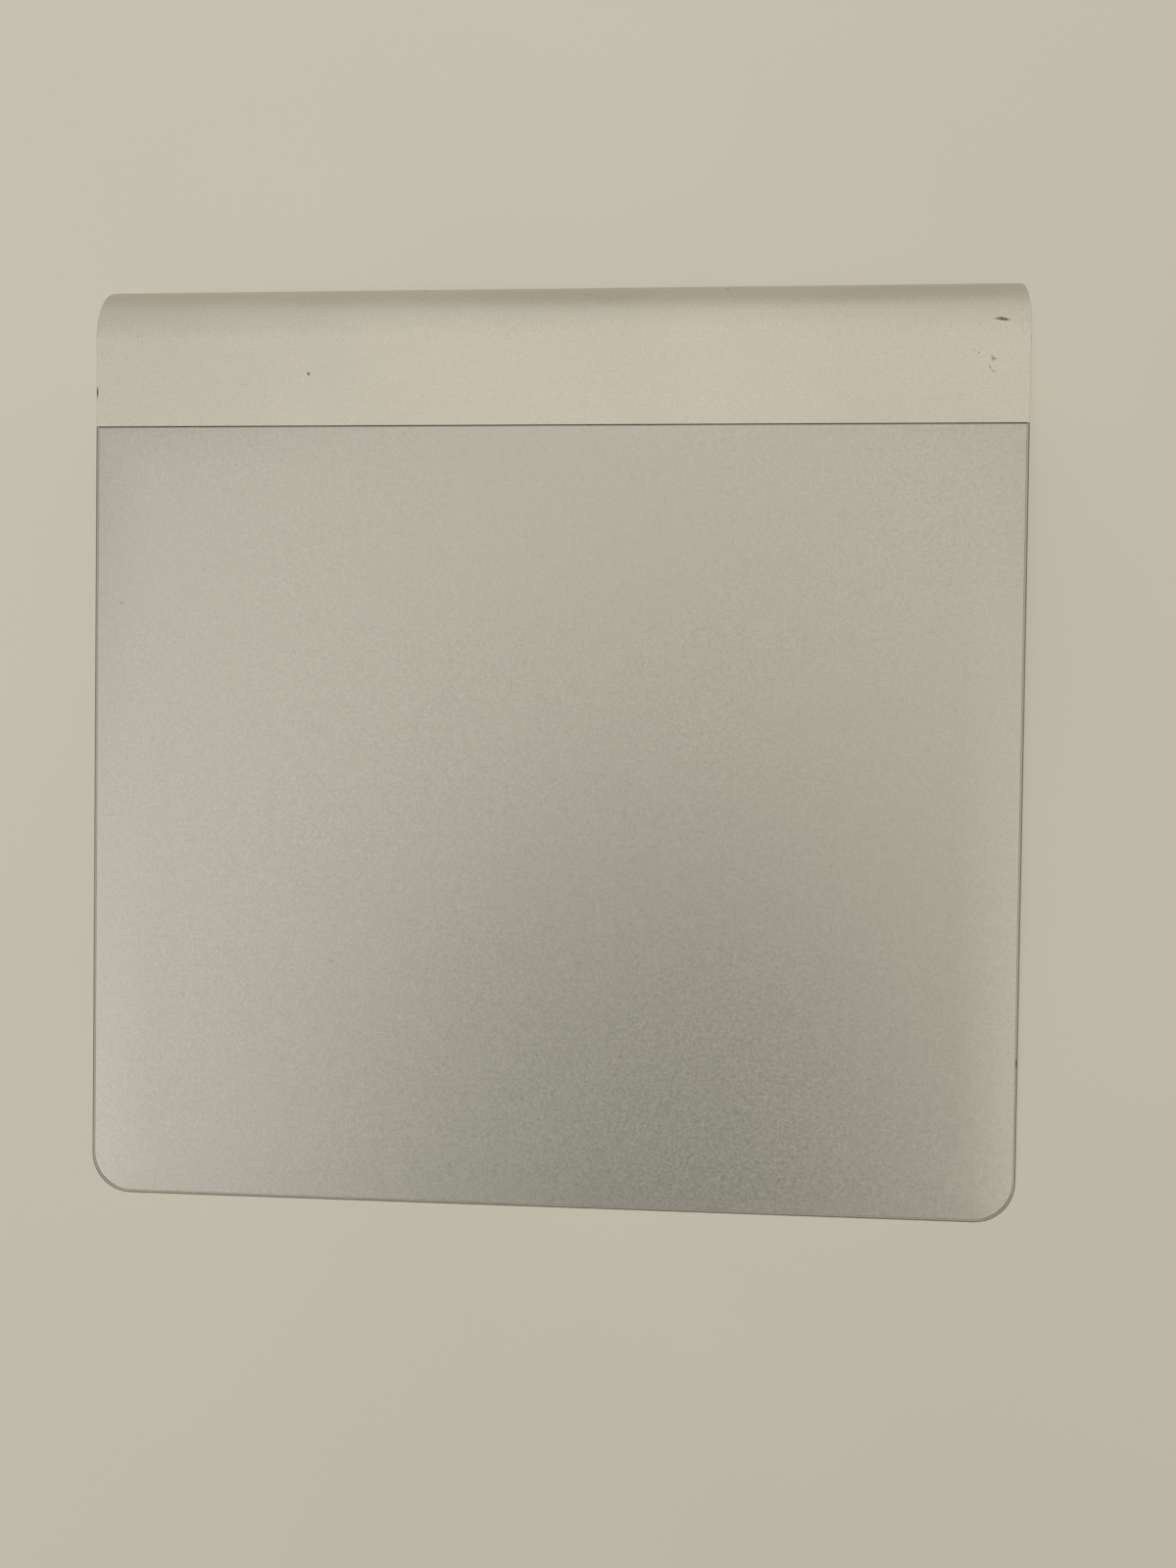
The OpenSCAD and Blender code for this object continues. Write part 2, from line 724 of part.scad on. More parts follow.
// Chips under the logic board, as [share of its width, share of its depth, width, depth in chip units]
module board_chips() {
  chips = [[0.37, 0.6, 7, 7], [0.67, 0.58, 6, 6], [0.79, 0.63, 4, 3], [0.51, 0.42, 3.2, 2.5],
    [0.5, 0.74, 2, 1.2], [0.58, 0.74, 2, 1.2], [0.79, 0.37, 2, 1.2], [0.88, 0.36, 3, 3]];
  color([0.10, 0.10, 0.11]) for (c = chips) layer(board_under, board_under + chip_h)
    translate([board_x0 + c[0] * board_w, board_front + c[1] * board_d])
    square([c[2] * chip_unit, c[3] * chip_unit], center = true);
}

module shield_can() {
  color([0.72, 0.72, 0.70]) difference() {
    layer(board_under, board_under + can_h) translate([can_x, can_v]) square([can_w, can_d]);
    layer(board_under - bite, board_under + can_h - can_t)
      translate([can_x + can_t, can_v + can_t]) square([can_w - 2 * can_t, can_d - 2 * can_t]);
    for (i = [1:3], j = [1:3]) layer(board_under, board_under + can_h + bite)
      translate([can_x + i * can_w / 4, can_v + j * can_d / 4]) circle(d = vent_d);
  }
}

module flex_connector() {
  color([0.85, 0.82, 0.72]) difference() {
    layer(board_under, board_under + socket_h)
      translate([flex_x - socket_w / 2, socket_v]) square([socket_w, socket_d]);
    layer(mouth_depth - flex_t / 2 - mouth_gap, mouth_depth + flex_t / 2 + mouth_gap)
      translate([flex_x - flex_w / 2 - mouth_gap, socket_v - bite])
      square([flex_w + 2 * mouth_gap, mouth_in + bite + mouth_gap]);
  }
}

// Stamped antenna: a strip that stands off the board on two legs
module antenna() {
  color([0.80, 0.75, 0.60]) {
    layer(board_under + antenna_h - antenna_t, board_under + antenna_h) translate([antenna_x, antenna_v]) {
      square([antenna_w, antenna_strip]);
      square([antenna_strip, antenna_d]);
    }
    layer(board_under, board_under + antenna_h) translate([antenna_x, antenna_v]) {
      translate([0, antenna_d - antenna_t]) square([antenna_strip, antenna_t]);
      translate([antenna_w / 3, 0]) square([antenna_strip, antenna_t]);
    }
  }
}

module board_screws() {
  color([0.55, 0.55, 0.55]) for (p = board_holes) floor_screw(p[0], p[1], board_under);
}

// Hinge bracket: a plate screwed to the tray floor, with two ears that hold the pin
module hinge_bracket(side) {
  x0 = side * arm_x - bracket_w / 2;
  color([0.66, 0.66, 0.66]) difference() {
    union() {
      layer(floor_under, floor_under + bracket_t)
        translate([x0, bracket_back]) square([bracket_w, bracket_reach]);
      for (x = [x0, x0 + bracket_w - ear_t]) across(x, x + ear_t) translate([pivot_v, -pivot_depth]) {
        circle(ear_r);
        translate([0, -ear_r]) square([bracket_reach / 2, ear_r + pivot_depth - floor_under]);
      }
    }
    across(x0 - bite, x0 + bracket_w + bite) translate([pivot_v, -pivot_depth]) circle(d = pin_d);
    floor_holes(bracket_holes, floor_under + bracket_t);
  }
}

module hinge_pins() {
  proud = 0.3;
  half = bracket_w / 2 + proud;
  color([0.60, 0.60, 0.62]) for (s = [-1, 1]) across(s * arm_x - half, s * arm_x + half)
    translate([pivot_v, -pivot_depth]) circle(d = pin_d);
}

module mechanism_screws() {
  color([0.55, 0.55, 0.55]) {
    for (p = bracket_holes) floor_screw(p[0], p[1], floor_under + bracket_t);
    for (p = leaf_holes) floor_screw(p[0], p[1], floor_under + leaf_t);
  }
}

// Leaf spring: a tab under the tray floor and a blade that slopes down to the rocker's strip
module return_springs() {
  tip = bar_top - leaf_gap;
  color([0.70, 0.70, 0.72]) difference() {
    for (s = [-1, 1]) across(s * spring_x - leaf_w / 2, s * spring_x + leaf_w / 2)
      polygon([[leaf_root + leaf_tab, -floor_under], [leaf_root, -floor_under], [leaf_tip, leaf_t - tip],
        [leaf_tip, -tip], [leaf_root, -floor_under - leaf_t], [leaf_root + leaf_tab, -floor_under - leaf_t]]);
    floor_holes(leaf_holes, floor_under + leaf_t);
  }
}

// Click switch: a flat square can with notched corners and a well for its plunger
module click_switch() {
  notch_r = 0.6;
  half = switch_w / 2;
  color([0.75, 0.75, 0.75]) difference() {
    layer(switch_top, switch_under) translate([0, switch_v]) difference() {
      square(switch_w, center = true);
      for (a = [-half, half], b = [-half, half]) translate([a, b]) circle(notch_r);
    }
    layer(switch_top + well_floor, switch_under + bite)
      translate([0, switch_v]) circle(plunger_d / 2 + swivel_gap);
  }
}

module click_flex() {
  strip = 3.6;
  color([0.75, 0.48, 0.15]) layer(floor_under, switch_top) {
    translate([-strip / 2, switch_v]) square([strip, board_front + flex_tail / 2 - switch_v]);
    translate([-switch_w / 2, switch_v - switch_w / 2]) square(switch_w);
  }
}

module click_plunger() {
  color([0.20, 0.20, 0.20]) layer(switch_under - well_floor, switch_under + plunger_h)
    translate([0, switch_v]) circle(d = plunger_d);
}

// Rocker: a cross strip with a tab for each foot, a tongue under the switch and two arms back to the hinge
module click_bar() {
  strip_v = foot_v - strip_w / 2;
  neck = knuckle_r + ear_r;
  hole_d = 3;
  color([0.62, 0.62, 0.64]) difference() {
    union() {
      layer(bar_top, bar_under) difference() {
        union() {
          translate([-foot_x, strip_v]) square([2 * foot_x, strip_w]);
          for (s = [-1, 1]) {
            translate([s * foot_x, foot_v]) circle(tab_r);
            translate([s * arm_x - arm_w / 2, foot_v]) square([arm_w, pivot_v - neck - foot_v]);
            translate([s * arm_x - knuckle_w / 2, foot_v]) square([knuckle_w, pivot_v - foot_v]);
          }
          translate([-tongue_w / 2, foot_v]) square([tongue_w, switch_v + switch_w - foot_v]);
        }
        for (s = [-1, 1]) {
          translate([s * arm_x, (foot_v + pivot_v) / 2]) circle(d = hole_d);
          translate([s * (arm_x + foot_x) / 2, foot_v]) circle(d = hole_d);
          translate([s * (spring_x + tongue_w / 2) / 2, foot_v]) circle(d = hole_d);
        }
      }
      layer(bar_top, bar_under + flange_h) translate([tab_r - foot_x, strip_v])
        square([2 * (foot_x - tab_r), bar_t]);
      for (s = [-1, 1]) across(s * arm_x - knuckle_w / 2, s * arm_x + knuckle_w / 2)
        translate([pivot_v, -pivot_depth]) circle(knuckle_r);
    }
    across(-end_x, end_x) translate([pivot_v, -pivot_depth]) circle(pin_d / 2 + pin_gap);
  }
}

// Front foot: an upright rubber stud, cut to the slope where it is bonded under the rocker
module front_foot(side) {
  r = foot_d / 2;
  tall = front_h + tube_d;
  color([0.20, 0.20, 0.20]) difference() {
    translate([side * foot_x, foot_y, 0]) rotate_extrude()
      polygon([[0, 0], [r - foot_edge, 0], [r, foot_edge], [r, tall], [0, tall]]);
    on_slab() translate([side * foot_x - foot_d, foot_v - foot_d, -bar_under])
      cube([2 * foot_d, 2 * foot_d, 2 * tall]);
  }
}

module battery_cap() {
  chamfer = 0.3;
  color([0.78, 0.76, 0.70]) difference() {
    turned(-end_x) polygon([[0, 0], [cap_d / 2 - chamfer, 0], [cap_d / 2, chamfer], [cap_d / 2, cap_l],
      [cup_d / 2, cap_l], [cup_d / 2, cap_face_t], [0, cap_face_t]]);
    on_tube() translate([coin_slot_d - coin_d / 2 - end_x, 0, 0])
      cylinder(h = coin_slot_w, d = coin_d, center = true);
  }
}

module cap_insert() {
  room_d = rivet_d + 2 * tail_gap;
  color([0.15, 0.15, 0.16]) difference() {
    tube_bar(insert_x0, insert_x1, cup_d);
    tube_bar(insert_x0 - bite, insert_x0 + rivet_room, room_d);
    tube_bar(insert_x0, insert_x1 + bite, stem_d + 2 * swivel_gap);
  }
}

// Swivelling contact: rivet head, stem through the insert, sprung dome against the cell
module cap_contact() {
  head = insert_x0 + rivet_room - swivel_gap - rivet_t;
  plate = insert_x1 + swivel_gap - head;
  tip = plate + leaf_plate_t + contact_rise;
  color([0.80, 0.72, 0.45]) turned(head)
    polygon([[0, 0], [rivet_d / 2, 0], [rivet_d / 2, rivet_t], [stem_d / 2, rivet_t], [stem_d / 2, plate],
      [contact_d / 2, plate], [contact_d / 2, plate + leaf_plate_t], [contact_tip_d / 2, tip], [0, tip]]);
}

housing();
touch_plate();
plate_tape();
sensor_board();
sensor_flex();
bottom_cover();
cover_tape();
rear_foot(-1);  // rear_foot_left
rear_foot(1);  // rear_foot_right
battery_liner();
cell(cells_x0);  // battery_left
cell(cells_x0 + cell_l);  // battery_right
bulkhead();
positive_contact();
power_board();
power_switch();
indicator_led();
light_pipe();
power_ribbon();
end_plug();
logic_board();
board_chips();
shield_can();
flex_connector();
antenna();
board_screws();
hinge_bracket(-1);  // hinge_bracket_left
hinge_bracket(1);  // hinge_bracket_right
hinge_pins();
mechanism_screws();
return_springs();
click_switch();
click_flex();
click_plunger();
click_bar();
front_foot(-1);  // front_foot_left
front_foot(1);  // front_foot_right
power_plunger();
power_button();
cap_contact();
battery_cap();
cap_insert();
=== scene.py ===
"""Looks of a wireless desk trackpad: its finishes, its turned and moulded pieces, and the stage.

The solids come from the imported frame, in metres: X runs across, Y to the rear, Z up, and the origin is on the
desk under the middle of the body.
"""

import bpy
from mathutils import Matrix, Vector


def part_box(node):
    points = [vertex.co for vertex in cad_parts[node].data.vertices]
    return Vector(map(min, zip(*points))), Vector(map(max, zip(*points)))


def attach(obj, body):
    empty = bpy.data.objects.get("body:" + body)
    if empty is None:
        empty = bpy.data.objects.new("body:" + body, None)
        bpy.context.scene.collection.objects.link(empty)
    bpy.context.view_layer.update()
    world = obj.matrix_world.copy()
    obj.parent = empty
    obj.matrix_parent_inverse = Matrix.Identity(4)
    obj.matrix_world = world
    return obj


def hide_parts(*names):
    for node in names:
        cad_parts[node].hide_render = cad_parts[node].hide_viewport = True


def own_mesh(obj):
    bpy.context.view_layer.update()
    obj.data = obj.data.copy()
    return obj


bl_info = {
    "name": "Desk trackpad looks",
    "version": (1, 0, 0),
    "blender": (4, 5, 0),
    "location": "View3D > Sidebar > Trackpad",
    "description": "Dresses the packed trackpad with finishes and moulded pieces, and sets its stage",
    "category": "Object",
}

import math

import bmesh
import bpy
import numpy as np
from bpy.props import FloatProperty, FloatVectorProperty, PointerProperty
from mathutils import Matrix, Vector

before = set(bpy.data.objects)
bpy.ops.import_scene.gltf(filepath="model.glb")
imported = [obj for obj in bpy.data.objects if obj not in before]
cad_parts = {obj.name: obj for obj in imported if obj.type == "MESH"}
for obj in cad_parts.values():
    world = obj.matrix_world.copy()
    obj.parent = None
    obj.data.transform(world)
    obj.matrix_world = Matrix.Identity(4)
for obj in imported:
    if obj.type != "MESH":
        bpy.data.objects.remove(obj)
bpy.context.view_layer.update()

# Axis of the battery tube
cap_low, cap_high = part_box("battery_cap")
AXIS_Y = (cap_low.y + cap_high.y) / 2
AXIS_Z = (cap_low.z + cap_high.z) / 2
TUBE_AXIS = (0.0, AXIS_Y, AXIS_Z)

# Distance within which points are merged, and within which a point counts as on the plate's front edge
MERGE = 1e-6
ON_EDGE = 0.00002

# Clearance of the touch plate along the seam, in the solids
SEAM = 0.00025

# Painted shade on the lip round the touch plate, for its rounded outer edge mirroring dark surroundings: depths
# between which it comes in, distances from the plate's solid between which it grows, and its least value
LIP_DEPTHS = (0.0002, 0.00006)
LIP_REACH = (0.00014, 0.0004)
LIP_LEAST = 0.25

# The seam's line across the lip, painted shade standing in for a gap there: half widths at full and at no
# strength, and its strength
PAINTED_SEAM_REACH = (0.00004, 0.00008)
PAINTED_SEAM_STRENGTH = 1.3

# Distances from the seam between which the body's edges go from the gap's rounding to their own
SEAM_ROUND = (0.0003, 0.0006)

# Colours that more than one finish or no single piece has
GRIME = (0.085, 0.062, 0.036)
PLATE_GRIME = (0.10, 0.085, 0.07)
# Painted shade for the lip round the touch plate and for the seam line across it
LIP_PAINTED_SHADE = (0.06, 0.055, 0.045)
DUST = (0.42, 0.40, 0.36)
BOARD_MASK = (0.016, 0.10, 0.05)
BOARD_TRACK = (0.03, 0.17, 0.08)

# How much rougher than the surface a mark of use is
MARK_ROUGH = 0.2

# Floor: half its width, and the painted light falloff of its colour, darker to the front right: how it leans
# with X beside Y, and the reach of that lean
FLOOR_HALF = 2.0
FLOOR_PAINTED_FALLOFF_X = -0.75
FLOOR_PAINTED_FALLOFF_REACH = 0.15

# Sky, by the coordinates of its direction: its most, the middle that its distance out is counted from, how
# much and how far the rear counts in that distance, and the spans of its fades
SKY_MOST = 1.2
SKY_MIDDLE_X = 0.07
SKY_REAR_COUNTS = 0.9
SKY_REAR_TO = 0.3
OUT_FADE = (0.38, 1.2)
FRONT_FADE = (-0.95, -0.62)
REAR_FADE = (0.89, 1.0)
REAR_TONE = 0.4
WINDOW_FADE = (-0.55, 0.15)

# Lamp and camera: where the light comes from, height of the camera's frame in millimetres, nearest distance
LAMP_FROM = (-0.03, -0.2, 1.0)
FRAME_HEIGHT = 36.0
CAMERA_NEAR = 0.01

# Marks of use on the aluminium: place, reach along and across, turn in degrees, strength
BODY_MARKS = (
    ((0.0607, 0.0572, 0.0188), (0.001, 0.00026, 0.001), -3, 0.65),
    ((0.0614, 0.0571, 0.0188), (0.001, 0.0003, 0.001), -6, 0.8),
    ((0.0610, 0.0574, 0.0188), (0.0006, 0.00014, 0.001), -4, 0.5),
    ((0.0574, 0.0529, 0.0185), (0.0001, 0.0002, 0.0006), 25, 0.6),
    ((0.0580, 0.0526, 0.0185), (0.00025, 0.00012, 0.0006), -40, 0.6),
    ((0.0583, 0.0533, 0.0185), (0.0001, 0.00014, 0.0006), 0, 0.3),
    ((0.0598, 0.0519, 0.0184), (0.0005, 0.00015, 0.0006), -75, 0.5),
    ((0.0600, 0.0517, 0.0184), (0.00055, 0.00014, 0.0006), 40, 0.5),
    ((0.0601, 0.0518, 0.0184), (0.0005, 0.00013, 0.0006), -25, 0.5),
    ((0.0595, 0.0507, 0.0183), (0.0005, 0.00014, 0.0006), -60, 0.48),
    ((0.0600, 0.0501, 0.0182), (0.0005, 0.00014, 0.0006), -20, 0.5),
    ((-0.0649, 0.0480, 0.0180), (0.0003, 0.0011, 0.0008), 0, 0.85),
    ((-0.0590, 0.0558, 0.0188), (0.0002, 0.0002, 0.0006), 0, 0.3),
    ((-0.0584, 0.0551, 0.0187), (0.00018, 0.00022, 0.0006), 0, 0.3),
    ((-0.0344, 0.0504, 0.0183), (0.0003, 0.00034, 0.0006), 0, 0.85),
    ((-0.0063, 0.0556, 0.0188), (0.0002, 0.0002, 0.0006), 0, 0.35),
    ((-0.0187, 0.0638, 0.0150), (0.0005, 0.0004, 0.0005), 0, 0.4),
    ((0.0241, 0.0632, 0.0157), (0.0004, 0.0004, 0.0005), 0, 0.4),
    ((0.0648, -0.0436, 0.0090), (0.0003, 0.0009, 0.0006), 0, 0.55),
)

# Marks of use on the touch plate, in the same form
PLATE_MARKS = (
    ((-0.0611, 0.0184, 0.0151), (0.00028, 0.00018, 0.0006), -20, 0.55),
    ((-0.0492, 0.0231, 0.0156), (0.0002, 0.0002, 0.0006), 0, 0.2),
    ((0.0436, -0.0191, 0.0114), (0.0002, 0.0002, 0.0006), 0, 0.35),
    ((-0.0305, -0.0318, 0.0101), (0.0009, 0.00022, 0.0006), 12, 0.2),
)


def colour_value(name, description, default):
    """A colour that a user may change."""
    return FloatVectorProperty(
        name=name, description=description, subtype="COLOR", min=0, max=1, default=default
    )


def length_value(name, description, default, precision=5):
    """A length that a user may change, shown to a number of decimals."""
    return FloatProperty(
        name=name, description=description, unit="LENGTH", precision=precision, default=default
    )


def share_value(name, description, default, least=0.0):
    """A share of one that a user may change."""
    return FloatProperty(
        name=name, description=description, subtype="FACTOR", min=least, max=1, default=default
    )


def angle_value(name, description, degrees):
    """An angle that a user may change, given in degrees."""
    return FloatProperty(
        name=name, description=description, subtype="ANGLE", default=math.radians(degrees)
    )


def level_value(name, description, default, most=2.0):
    """A plain number, such as a brightness, that a user may change."""
    return FloatProperty(name=name, description=description, min=0, max=most, default=default)


class TrackpadFinish(bpy.types.PropertyGroup):
    """Colours and textures of the trackpad's surfaces."""

    aluminium: colour_value("Aluminium", "Colour of the blasted aluminium body", (0.638, 0.611, 0.539))
    aluminium_rough: share_value("Aluminium roughness", "Roughness of the blasted aluminium", 0.46)
    blast_grain: length_value("Blast grain", "Size of the pits that the blasting leaves", 0.0003)
    plate: colour_value("Touch plate", "Colour of the satin touch plate", (0.516, 0.506, 0.455))
    plate_rough: share_value("Plate roughness", "Roughness of the satin touch plate", 0.38)
    plate_grain: length_value("Plate grain", "Size of the sparkle in the touch plate", 0.0005)
    cover: colour_value("Bottom cover", "Colour of the moulded bottom cover", (0.74, 0.735, 0.70))
    rubber: colour_value("Rubber", "Colour of the rubber feet", (0.075, 0.075, 0.073))
    edge_round: length_value("Edge rounding", "Radius that hard edges are softened to in the light", 0.0001)
    gap_round: length_value(
        "Gap rounding", "Radius that edges along the touch plate's gap are softened to in the light", 0.00003
    )
    # Strength of the painted shade on the lip's outer edge, which stands in for that rounded edge mirroring
    # dark surroundings
    lip_shade: share_value(
        "Lip shade", "How much darker the outer edge of the lip round the touch plate is than the body", 0.74
    )
    lip_round: length_value(
        "Lip rounding", "Radius that the lip round the touch plate is softened to in the light", 0.0002
    )


class TrackpadPieces(bpy.types.PropertyGroup):
    """Sizes of the pieces that are shaped here."""

    plate_out: length_value(
        "Plate reach", "How far the touch plate reaches into the gap at its sides and front", 0.000105, 6
    )
    plate_back: length_value(
        "Plate reach at the seam", "How far the touch plate reaches into the gap at its rear", 0.000093, 6
    )
    plate_corner: length_value(
        "Plate corner", "How much larger the radius of its front corners is than its solid's", 0.00017, 6
    )
    plate_edge: length_value("Plate edge", "Radius along the upper edge of the touch plate", 0.00004, 6)
    thread_pitch: length_value("Thread pitch", "Pitch of the battery cap's thread", 0.001)
    thread_depth: length_value("Thread depth", "Depth of the battery cap's thread", 0.00042)
    slot_width: length_value("Coin slot width", "Width of the slot in the battery cap", 0.0018)
    slot_depth: length_value("Coin slot depth", "Depth of the slot at its middle", 0.0016)
    coin: length_value("Coin diameter", "Diameter of the coin that the slot is cut for", 0.02, 4)
    spring_keep: share_value(
        "Spring height",
        "Height of a leaf spring when the rocker is pressed, as a share of its height at rest",
        0.58,
        least=0.3,
    )
    foot_round: length_value("Foot rounding", "Radius round the underside of a front foot", 0.0006)
    pad_round: length_value("Pad rounding", "Radius round the underside of a rear foot", 0.00045)


class TrackpadStage(bpy.types.PropertyGroup):
    """Floor, light and camera."""

    floor: colour_value("Floor", "Colour of the floor", (0.572, 0.553, 0.501))
    sky: level_value("Sky", "Brightness of the surroundings overhead, as gloss shows them", 1.12)
    sky_lean: FloatVectorProperty(
        name="Sky lean",
        description="How the brightness of the surroundings changes along each axis",
        default=(-0.17, -0.43, 0.0),
    )
    sky_hold: level_value("Sky hold", "How far to the rear the lean goes on", 0.45, 1.0)
    horizon: share_value(
        "Horizon", "Brightness of the surroundings low down as a share of that overhead", 0.38
    )
    fill: level_value("Fill", "Brightness of the surroundings as matt surfaces receive it", 0.27)
    shade_way: FloatVectorProperty(
        name="Shade direction",
        description="Direction of the soft shade that the front of the touch plate mirrors",
        subtype="DIRECTION",
        default=(0.009, -0.46, 0.888),
    )
    shade_core: angle_value(
        "Shade core", "Angle from the middle of the soft shade to where it begins to lift", 4.6
    )
    shade_reach: angle_value("Shade reach", "Angle from the middle of the soft shade to its border", 35)
    shade_narrow: FloatVectorProperty(
        name="Shade narrowing",
        description="How much narrower the soft shade is along each axis",
        default=(1.45, 0.9, 1.0),
    )
    warmth: colour_value(
        "Light colour", "Colour of the light, a little warm as in a room", (1.0, 0.962, 0.872)
    )
    window: colour_value(
        "Window colour", "Colour of the light from the left, as from a window", (0.99, 0.966, 0.918)
    )
    key_level: FloatProperty(
        name="Overhead light",
        description="Strength of the soft light from overhead, in watts a square metre",
        min=0,
        default=2.17,
    )
    key_soft: angle_value("Softness", "Angle across which the overhead light comes", 38)
    backdrop: level_value("Backdrop", "Brightness of the backdrop where the camera sees it", 0.62, 1.0)
    camera_place: FloatVectorProperty(
        name="Camera place",
        description="Place of the camera",
        subtype="TRANSLATION",
        unit="LENGTH",
        default=(0.0172091, -0.0204465, 0.1885514),
    )
    camera_turn: FloatVectorProperty(
        name="Camera turn",
        description="Turn of the camera from looking straight down, as an axis times an angle in radians",
        default=(0.0803214, 0.0648612, 0.0165435),
    )
    camera_lens: FloatProperty(
        name="Lens", description="Focal length in millimetres on a 36 mm frame height", min=1, default=29.183
    )


def lay(tree, kind, inputs=None, **settings):
    """A node of one kind in a tree. Each named or numbered input takes a plain value or the socket it is
    joined to."""
    node = tree.nodes.new("ShaderNode" + kind)
    for key, value in settings.items():
        setattr(node, key, value)
    for key, value in (inputs or {}).items():
        if isinstance(value, bpy.types.NodeSocket):
            tree.links.new(value, node.inputs[key])
        else:
            node.inputs[key].default_value = value
    return node


def sums(tree, operation, *values):
    """Result socket of a Math node on values or sockets."""
    return lay(tree, "Math", dict(enumerate(values)), operation=operation).outputs[0]


def arrows(tree, operation, *values):
    """Vector socket of a Vector Math node on vectors or sockets."""
    return lay(tree, "VectorMath", dict(enumerate(values)), operation=operation).outputs["Vector"]


def measure(tree, operation, *values):
    """Value socket of a Vector Math node on vectors or sockets."""
    return lay(tree, "VectorMath", dict(enumerate(values)), operation=operation).outputs["Value"]


def weigh(tree, first, first_share, second, second_share):
    """Two values, each taken by its share, and added."""
    return sums(
        tree, "ADD", sums(tree, "MULTIPLY", first, first_share), sums(tree, "MULTIPLY", second, second_share)
    )


def span(tree, value, low, high, to_low=0.0, to_high=1.0, smooth=False):
    """A value carried from one range to another and held at its ends."""
    kind = "SMOOTHSTEP" if smooth else "LINEAR"
    inputs = {"Value": value, "From Min": low, "From Max": high, "To Min": to_low, "To Max": to_high}
    return lay(tree, "MapRange", inputs, interpolation_type=kind).outputs["Result"]


def polish(tree, tone, low, high):
    """A roughness that goes from low to high with a tone."""
    return span(tree, tone, 0.0, 1.0, low, high)


def blend(tree, factor, first, second):
    """Colour socket of a mix of two colours, each a socket or plain values."""
    plain = [
        colour if isinstance(colour, bpy.types.NodeSocket) else (*colour[:3], 1) for colour in (first, second)
    ]
    return lay(tree, "Mix", {0: factor, 6: plain[0], 7: plain[1]}, data_type="RGBA").outputs[2]


def shaded(colour, amount):
    """A colour made darker or lighter by a factor."""
    return tuple(min(1.0, channel * amount) for channel in colour[:3])


def toned(tree, tone, colour, dark, light):
    """A colour that goes from a darker to a lighter factor of itself with a tone."""
    return blend(tree, tone, shaded(colour, dark), shaded(colour, light))


def noise(tree, place, scale, detail=2.0, rough=0.5):
    """Value socket of a noise texture."""
    inputs = {"Vector": place, "Scale": scale, "Detail": detail, "Roughness": rough}
    return lay(tree, "TexNoise", inputs).outputs[0]


def cells(tree, place, scale, **settings):
    """Outputs of a Voronoi texture."""
    return lay(tree, "TexVoronoi", {"Vector": place, "Scale": scale}, **settings).outputs


def chance(tree, found):
    """Three sockets with random values, each the same all over one cell of a Voronoi texture."""
    return lay(tree, "SeparateColor", {0: found["Color"]}).outputs


def axes(tree, place):
    """X, Y and Z sockets of a vector."""
    return lay(tree, "SeparateXYZ", {0: place}).outputs


def stripes(tree, value, width):
    """One over the first part of each unit of a value, as wide as given, and zero over the rest."""
    return sums(tree, "LESS_THAN", sums(tree, "FRACT", value), width)


def steps(tree, place, scale):
    """X, Y and Z sockets of a place counted in steps, with so many of them to a metre."""
    return axes(tree, lay(tree, "VectorMath", {0: place, "Scale": scale}, operation="SCALE").outputs[0])


def effect(name, outputs, **inputs):
    """A new node group that reads a place and named inputs and puts out named values: its tree, its inputs
    and a function that joins its outputs. An input whose default is None is a vector."""
    tree = bpy.data.node_groups.new(name, "ShaderNodeTree")
    for socket, value in {"Place": None, **inputs}.items():
        kind = "NodeSocketVector" if value is None else "NodeSocketFloat"
        made = tree.interface.new_socket(socket, in_out="INPUT", socket_type=kind)
        if value is not None:
            made.default_value = value
    for socket in outputs:
        tree.interface.new_socket(socket, in_out="OUTPUT", socket_type="NodeSocketFloat")
    source = tree.nodes.new("NodeGroupInput").outputs
    end = tree.nodes.new("NodeGroupOutput")

    def put(**sockets):
        for socket, value in sockets.items():
            tree.links.new(value, end.inputs[socket])
        return tree

    return tree, source, put


def use(tree, make, place, **values):
    """Outputs of a shared effect placed in a material with its own values. The first use builds its node
    group."""
    group = bpy.data.node_groups.get(make.__name__) or make()
    return lay(tree, "Group", {"Place": place, **values}, node_tree=group).outputs


def surface_grain():
    """Fine pits and bumps of a blasted, moulded or etched surface: noise and cell distance at one size."""
    tree, source, put = effect("surface_grain", ("Tone", "Height"), Size=0.0003)
    scale = sums(tree, "DIVIDE", 1.0, source["Size"])
    fine = noise(tree, source["Place"], scale, detail=3.0, rough=0.65)
    pits = cells(tree, source["Place"], scale)["Distance"]
    return put(Tone=span(tree, fine, 0.3, 0.7), Height=weigh(tree, fine, 0.6, pits, 0.4))


def soft_mottle():
    """Broad uneven tone of handling and light: two octaves of noise stretched to full range."""
    tree, source, put = effect("soft_mottle", ("Tone",), Size=0.03)
    broad = noise(tree, source["Place"], sums(tree, "DIVIDE", 1.0, source["Size"]))
    return put(Tone=span(tree, broad, 0.32, 0.68, smooth=True))


def wear_mark():
    """One mark of use: an ellipsoid at a centre, turned about Z, whose border noise breaks up."""
    tree, source, put = effect("wear_mark", ("Mask",), Centre=None, Reach=None, Turn=0.0)
    border_scale, border_depth, border_shift, core = 6500.0, 0.9, -0.42, 0.25
    offset = arrows(tree, "SUBTRACT", source["Place"], source["Centre"])
    inputs = {"Vector": offset, "Angle": source["Turn"]}
    turned = lay(tree, "VectorRotate", inputs, rotation_type="Z_AXIS", invert=True).outputs[0]
    far = measure(tree, "LENGTH", arrows(tree, "DIVIDE", turned, source["Reach"]))
    border = noise(tree, source["Place"], border_scale)
    ragged = sums(tree, "MULTIPLY_ADD", border, border_depth, border_shift)
    return put(Mask=span(tree, sums(tree, "ADD", far, ragged), 1.0, core, smooth=True))


